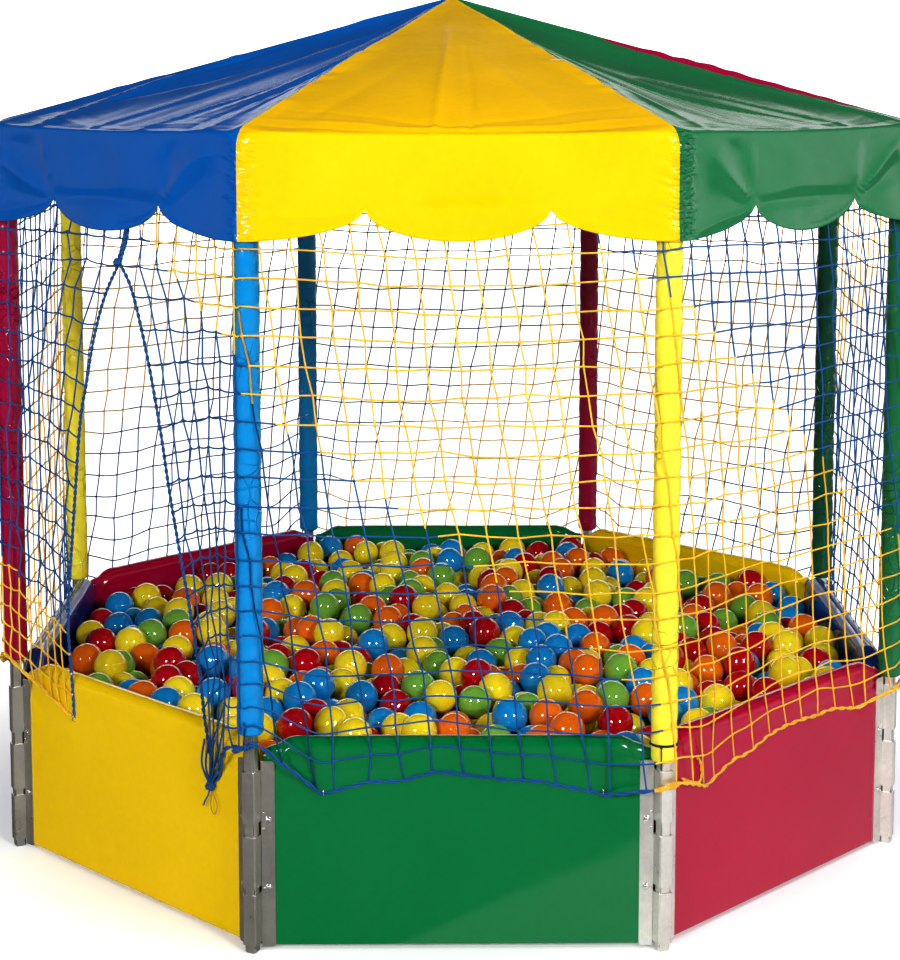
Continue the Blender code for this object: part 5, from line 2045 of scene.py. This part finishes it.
for index in range(SIDES):
    add_lashing(index)
fray_along, fray_height = np.array(FRAY).T
fray_path = smooth_path(belt_points(BELT_FACE + fray_along, FRAY_OUT, fray_height), 0.004)
add_twisted(lash_bundles[1], fray_path, 0.0016, 0.0017, 0.03, 0)
for bundle, colour, material in zip(lash_bundles, ("blue", "yellow"), net_twine):
    piece("hem_lashings_" + colour, bundle.mesh("hem_lashings_" + colour), "base", "net", [material])
print("lashings:", [bundle.count for bundle in lash_bundles], "points")

# %% The sleeve's tie
TIED_CORNER = 0
TIE_CORD = 0.0013
TIE_RISE = 0.036
TIE_KNOT = 0.0032
TIE_DROPS = (0.038, 0.020, 0.002, -0.010)


def build_tie():
    """A thin black cord, twice round the lower end of one sleeve, with a knot and a hanging end."""
    bundle = Bundle()
    corner = CORNERS[TIED_CORNER]
    centre = middle_of("pole_" + corner)
    foot = np.array((centre[0], centre[1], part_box("sleeve_" + corner)[0][2]))
    turn = np.linspace(0, 2 * math.pi * 2, 70)
    reach = SLEEVE_RADIUS + 0.0006
    rise = TIE_RISE + 0.0028 * turn / (2 * math.pi)
    bundle.tube(foot + np.stack((reach * np.cos(turn), reach * np.sin(turn), rise), -1), TIE_CORD, 0, 6)
    right, out = face_axes(TIED_CORNER)
    looks = out * 0.8 - right * 0.25
    spot = foot + looks / np.linalg.norm(looks) * (SLEEVE_RADIUS + 0.0016)
    drop = [spot + (0, 0, rise) for rise in TIE_DROPS]
    bundle.tube(smooth_path(drop, 0.004), TIE_CORD, 0, 6)
    rope_knot(bundle, drop[0], TIE_KNOT)
    black_twine = twine("twine_black", (0.012, 0.014, 0.020), 0.6)
    return piece("sleeve_tie", bundle.mesh("sleeve_tie"), "base", "net", [black_twine])


sleeve_tie = build_tie()
print("sleeve tie:", len(sleeve_tie.data.polygons), "faces")

# %% [markdown]
# The poles, brackets and roof tubes are galvanised steel. Zinc freezes into flat crystals, each of which
# mirrors a little differently, so the finish is made of small cells with their own tone and gloss, under a
# thin grey film. Fine rubbed lines run down the poles. The poles and brackets on the pit's right half get a
# paler copy of the same steel: painted light, for the brighter light that falls on that side.

# %% Galvanised steel
STEEL_METALLIC = 0.86
SPANGLE_SCALE = 130.0
RUBBED_STRETCH = (1.0, 1.0, 0.02)
STEEL_TONE = 0.56
STEEL_RELIEF = 0.0002


def galvanised(name, colour, roughness):
    """Zinc-coated steel with its spangle, a dull film and fine rubbed lines."""
    made, tree, shader = surface(name)
    place = node(tree, "TexCoord").outputs["Object"]
    cells = node(tree, "TexVoronoi", {"Vector": place, "Scale": SPANGLE_SCALE}, distance="CHEBYCHEV")
    spangle = node(tree, "SeparateColor", {0: cells.outputs["Color"]}).outputs[0]
    film = noise(tree, place, 9.0, 5.0)
    along = node(tree, "Mapping", {"Vector": place, "Scale": RUBBED_STRETCH}).outputs["Vector"]
    rubbed = noise(tree, along, 420.0, 2.0)
    tone = added(tree, times(tree, spangle, 0.08), times(tree, film, 0.5), times(tree, rubbed, 0.16))
    value = added(tree, STEEL_TONE, tone)
    shaded = node(tree, "HueSaturation", {"Color": (*colour, 1), "Value": value})
    gloss = added(tree, times(tree, film, 0.22), times(tree, spangle, 0.08))
    rough = math_node(tree, "ADD", gloss, roughness - 0.15, clamp=True)
    height = added(tree, times(tree, spangle, 0.2), rubbed)
    bump = node(tree, "Bump", {"Height": height, "Distance": STEEL_RELIEF, "Strength": 0.35})
    feed(tree, shader, {
        "Metallic": STEEL_METALLIC, "Base Color": shaded.outputs["Color"], "Roughness": rough,
        "Normal": bump.outputs["Normal"],
    })
    return made


zinc = galvanised("galvanised_steel", (0.57, 0.555, 0.50), 0.34)
# A paler copy of the same steel: painted light, for the brighter light on the pit's right half.
painted_lit_zinc = galvanised("painted_lit_galvanised_steel", (0.86, 0.845, 0.79), 0.33)
bright_zinc = galvanised("bright_zinc", (0.80, 0.79, 0.75), 0.24)
ROOF_STEEL = ("rafter_", "roof_hub")
BASE_STEEL = ("pole_", "left_bracket_", "right_bracket_")
steel_nodes = [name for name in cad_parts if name.startswith(BASE_STEEL + ROOF_STEEL)]
# Poles and brackets right of the middle get the paler copy: painted light, not a different steel.
for steel_name in steel_nodes:
    on_painted_lit_side = steel_name.startswith(BASE_STEEL) and middle_of(steel_name).x > 0
    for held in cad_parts[steel_name].material_slots:
        held.material = painted_lit_zinc if on_painted_lit_side else zinc
print("galvanised nodes:", len(steel_nodes))

# %% Bolts and rivets
PLATE_FACE = -0.005
BOLT_SET = 0.03375
BOLT_HEIGHTS = (0.135, 0.280)
BOLT_RADIUS = 0.0062
BOLT_RISE = 0.0036
WASHER_RADIUS = 0.0078
WASHER_RISE = 0.0012
RIVET_SET = 0.0245
RIVET_HEIGHTS = (0.134, 0.262, 0.296)
RIVET_RADIUS = 0.0028
RIVET_RISE = 0.0016
bolt_bundle = Bundle()


def add_fasteners(index, end):
    """The bolts, washers and rivets at one end of a face: -1 for the left, 1 for the right."""
    out = face_axes(index)[1]
    for height in BOLT_HEIGHTS:
        spot = on_face(index, end * (SIDE / 2 - BOLT_SET), PLATE_FACE, height)
        add_dome(bolt_bundle, spot, out, WASHER_RADIUS, WASHER_RISE)
        add_dome(bolt_bundle, spot + out * WASHER_RISE * 0.5, out, BOLT_RADIUS, BOLT_RISE)
    for height in RIVET_HEIGHTS:
        spot = on_face(index, end * (SIDE / 2 - RIVET_SET), PLATE_FACE, height)
        add_dome(bolt_bundle, spot, out, RIVET_RADIUS, RIVET_RISE)


for index in range(SIDES):
    add_fasteners(index, -1)
    add_fasteners(index, 1)
for bundle, small_name in ((bolt_bundle, "bolts_and_rivets"), (hook_bundle, "hem_hooks")):
    piece(small_name, bundle.mesh(small_name), "base", "metal", [bright_zinc])
print("bolts and rivets:", bolt_bundle.count, "points")

# %% [markdown]
# The mat under the balls is thin blue foam. The panels hide it, but the balls need it to lie on.

# %% Floor mat
MAT_COLOUR = (0.02, 0.07, 0.22, 1)
MAT_REACH = (FILL_APOTHEM + MAT_LAP) / math.cos(FACE_TURN / 2)


def mat_finish():
    """Dull closed-cell foam with a fine grain."""
    made, tree, shader = surface("mat_foam")
    grain = node(tree, "TexNoise", {"Scale": 300.0, "Detail": 2.0}).outputs["Fac"]
    bump = node(tree, "Bump", {"Height": grain, "Distance": 0.0005})
    feed(tree, shader, {"Base Color": MAT_COLOUR, "Roughness": 0.7, "Normal": bump.outputs["Normal"]})
    return made


def build_mat():
    """The mat over its CAD node: an octagonal slab."""
    turns = FACE_TURN * (np.arange(SIDES) + 0.5) - math.pi / 2
    ring = np.stack((np.cos(turns), np.sin(turns)), -1) * MAT_REACH
    points = np.concatenate([np.column_stack((ring, np.full(SIDES, level))) for level in (0, MAT_THICKNESS)])
    lids = np.array((range(SIDES - 1, -1, -1), range(SIDES, 2 * SIDES)))
    mesh = mesh_of("floor_mat", points, (grid_faces(2, SIDES, around=True), 0), (lids, 0), smooth=False)
    return piece("floor_mat", mesh, "base", "balls", [mat_finish()], "ball_fill")


floor_mat = build_mat()
print("mat:", len(floor_mat.data.polygons), "faces")
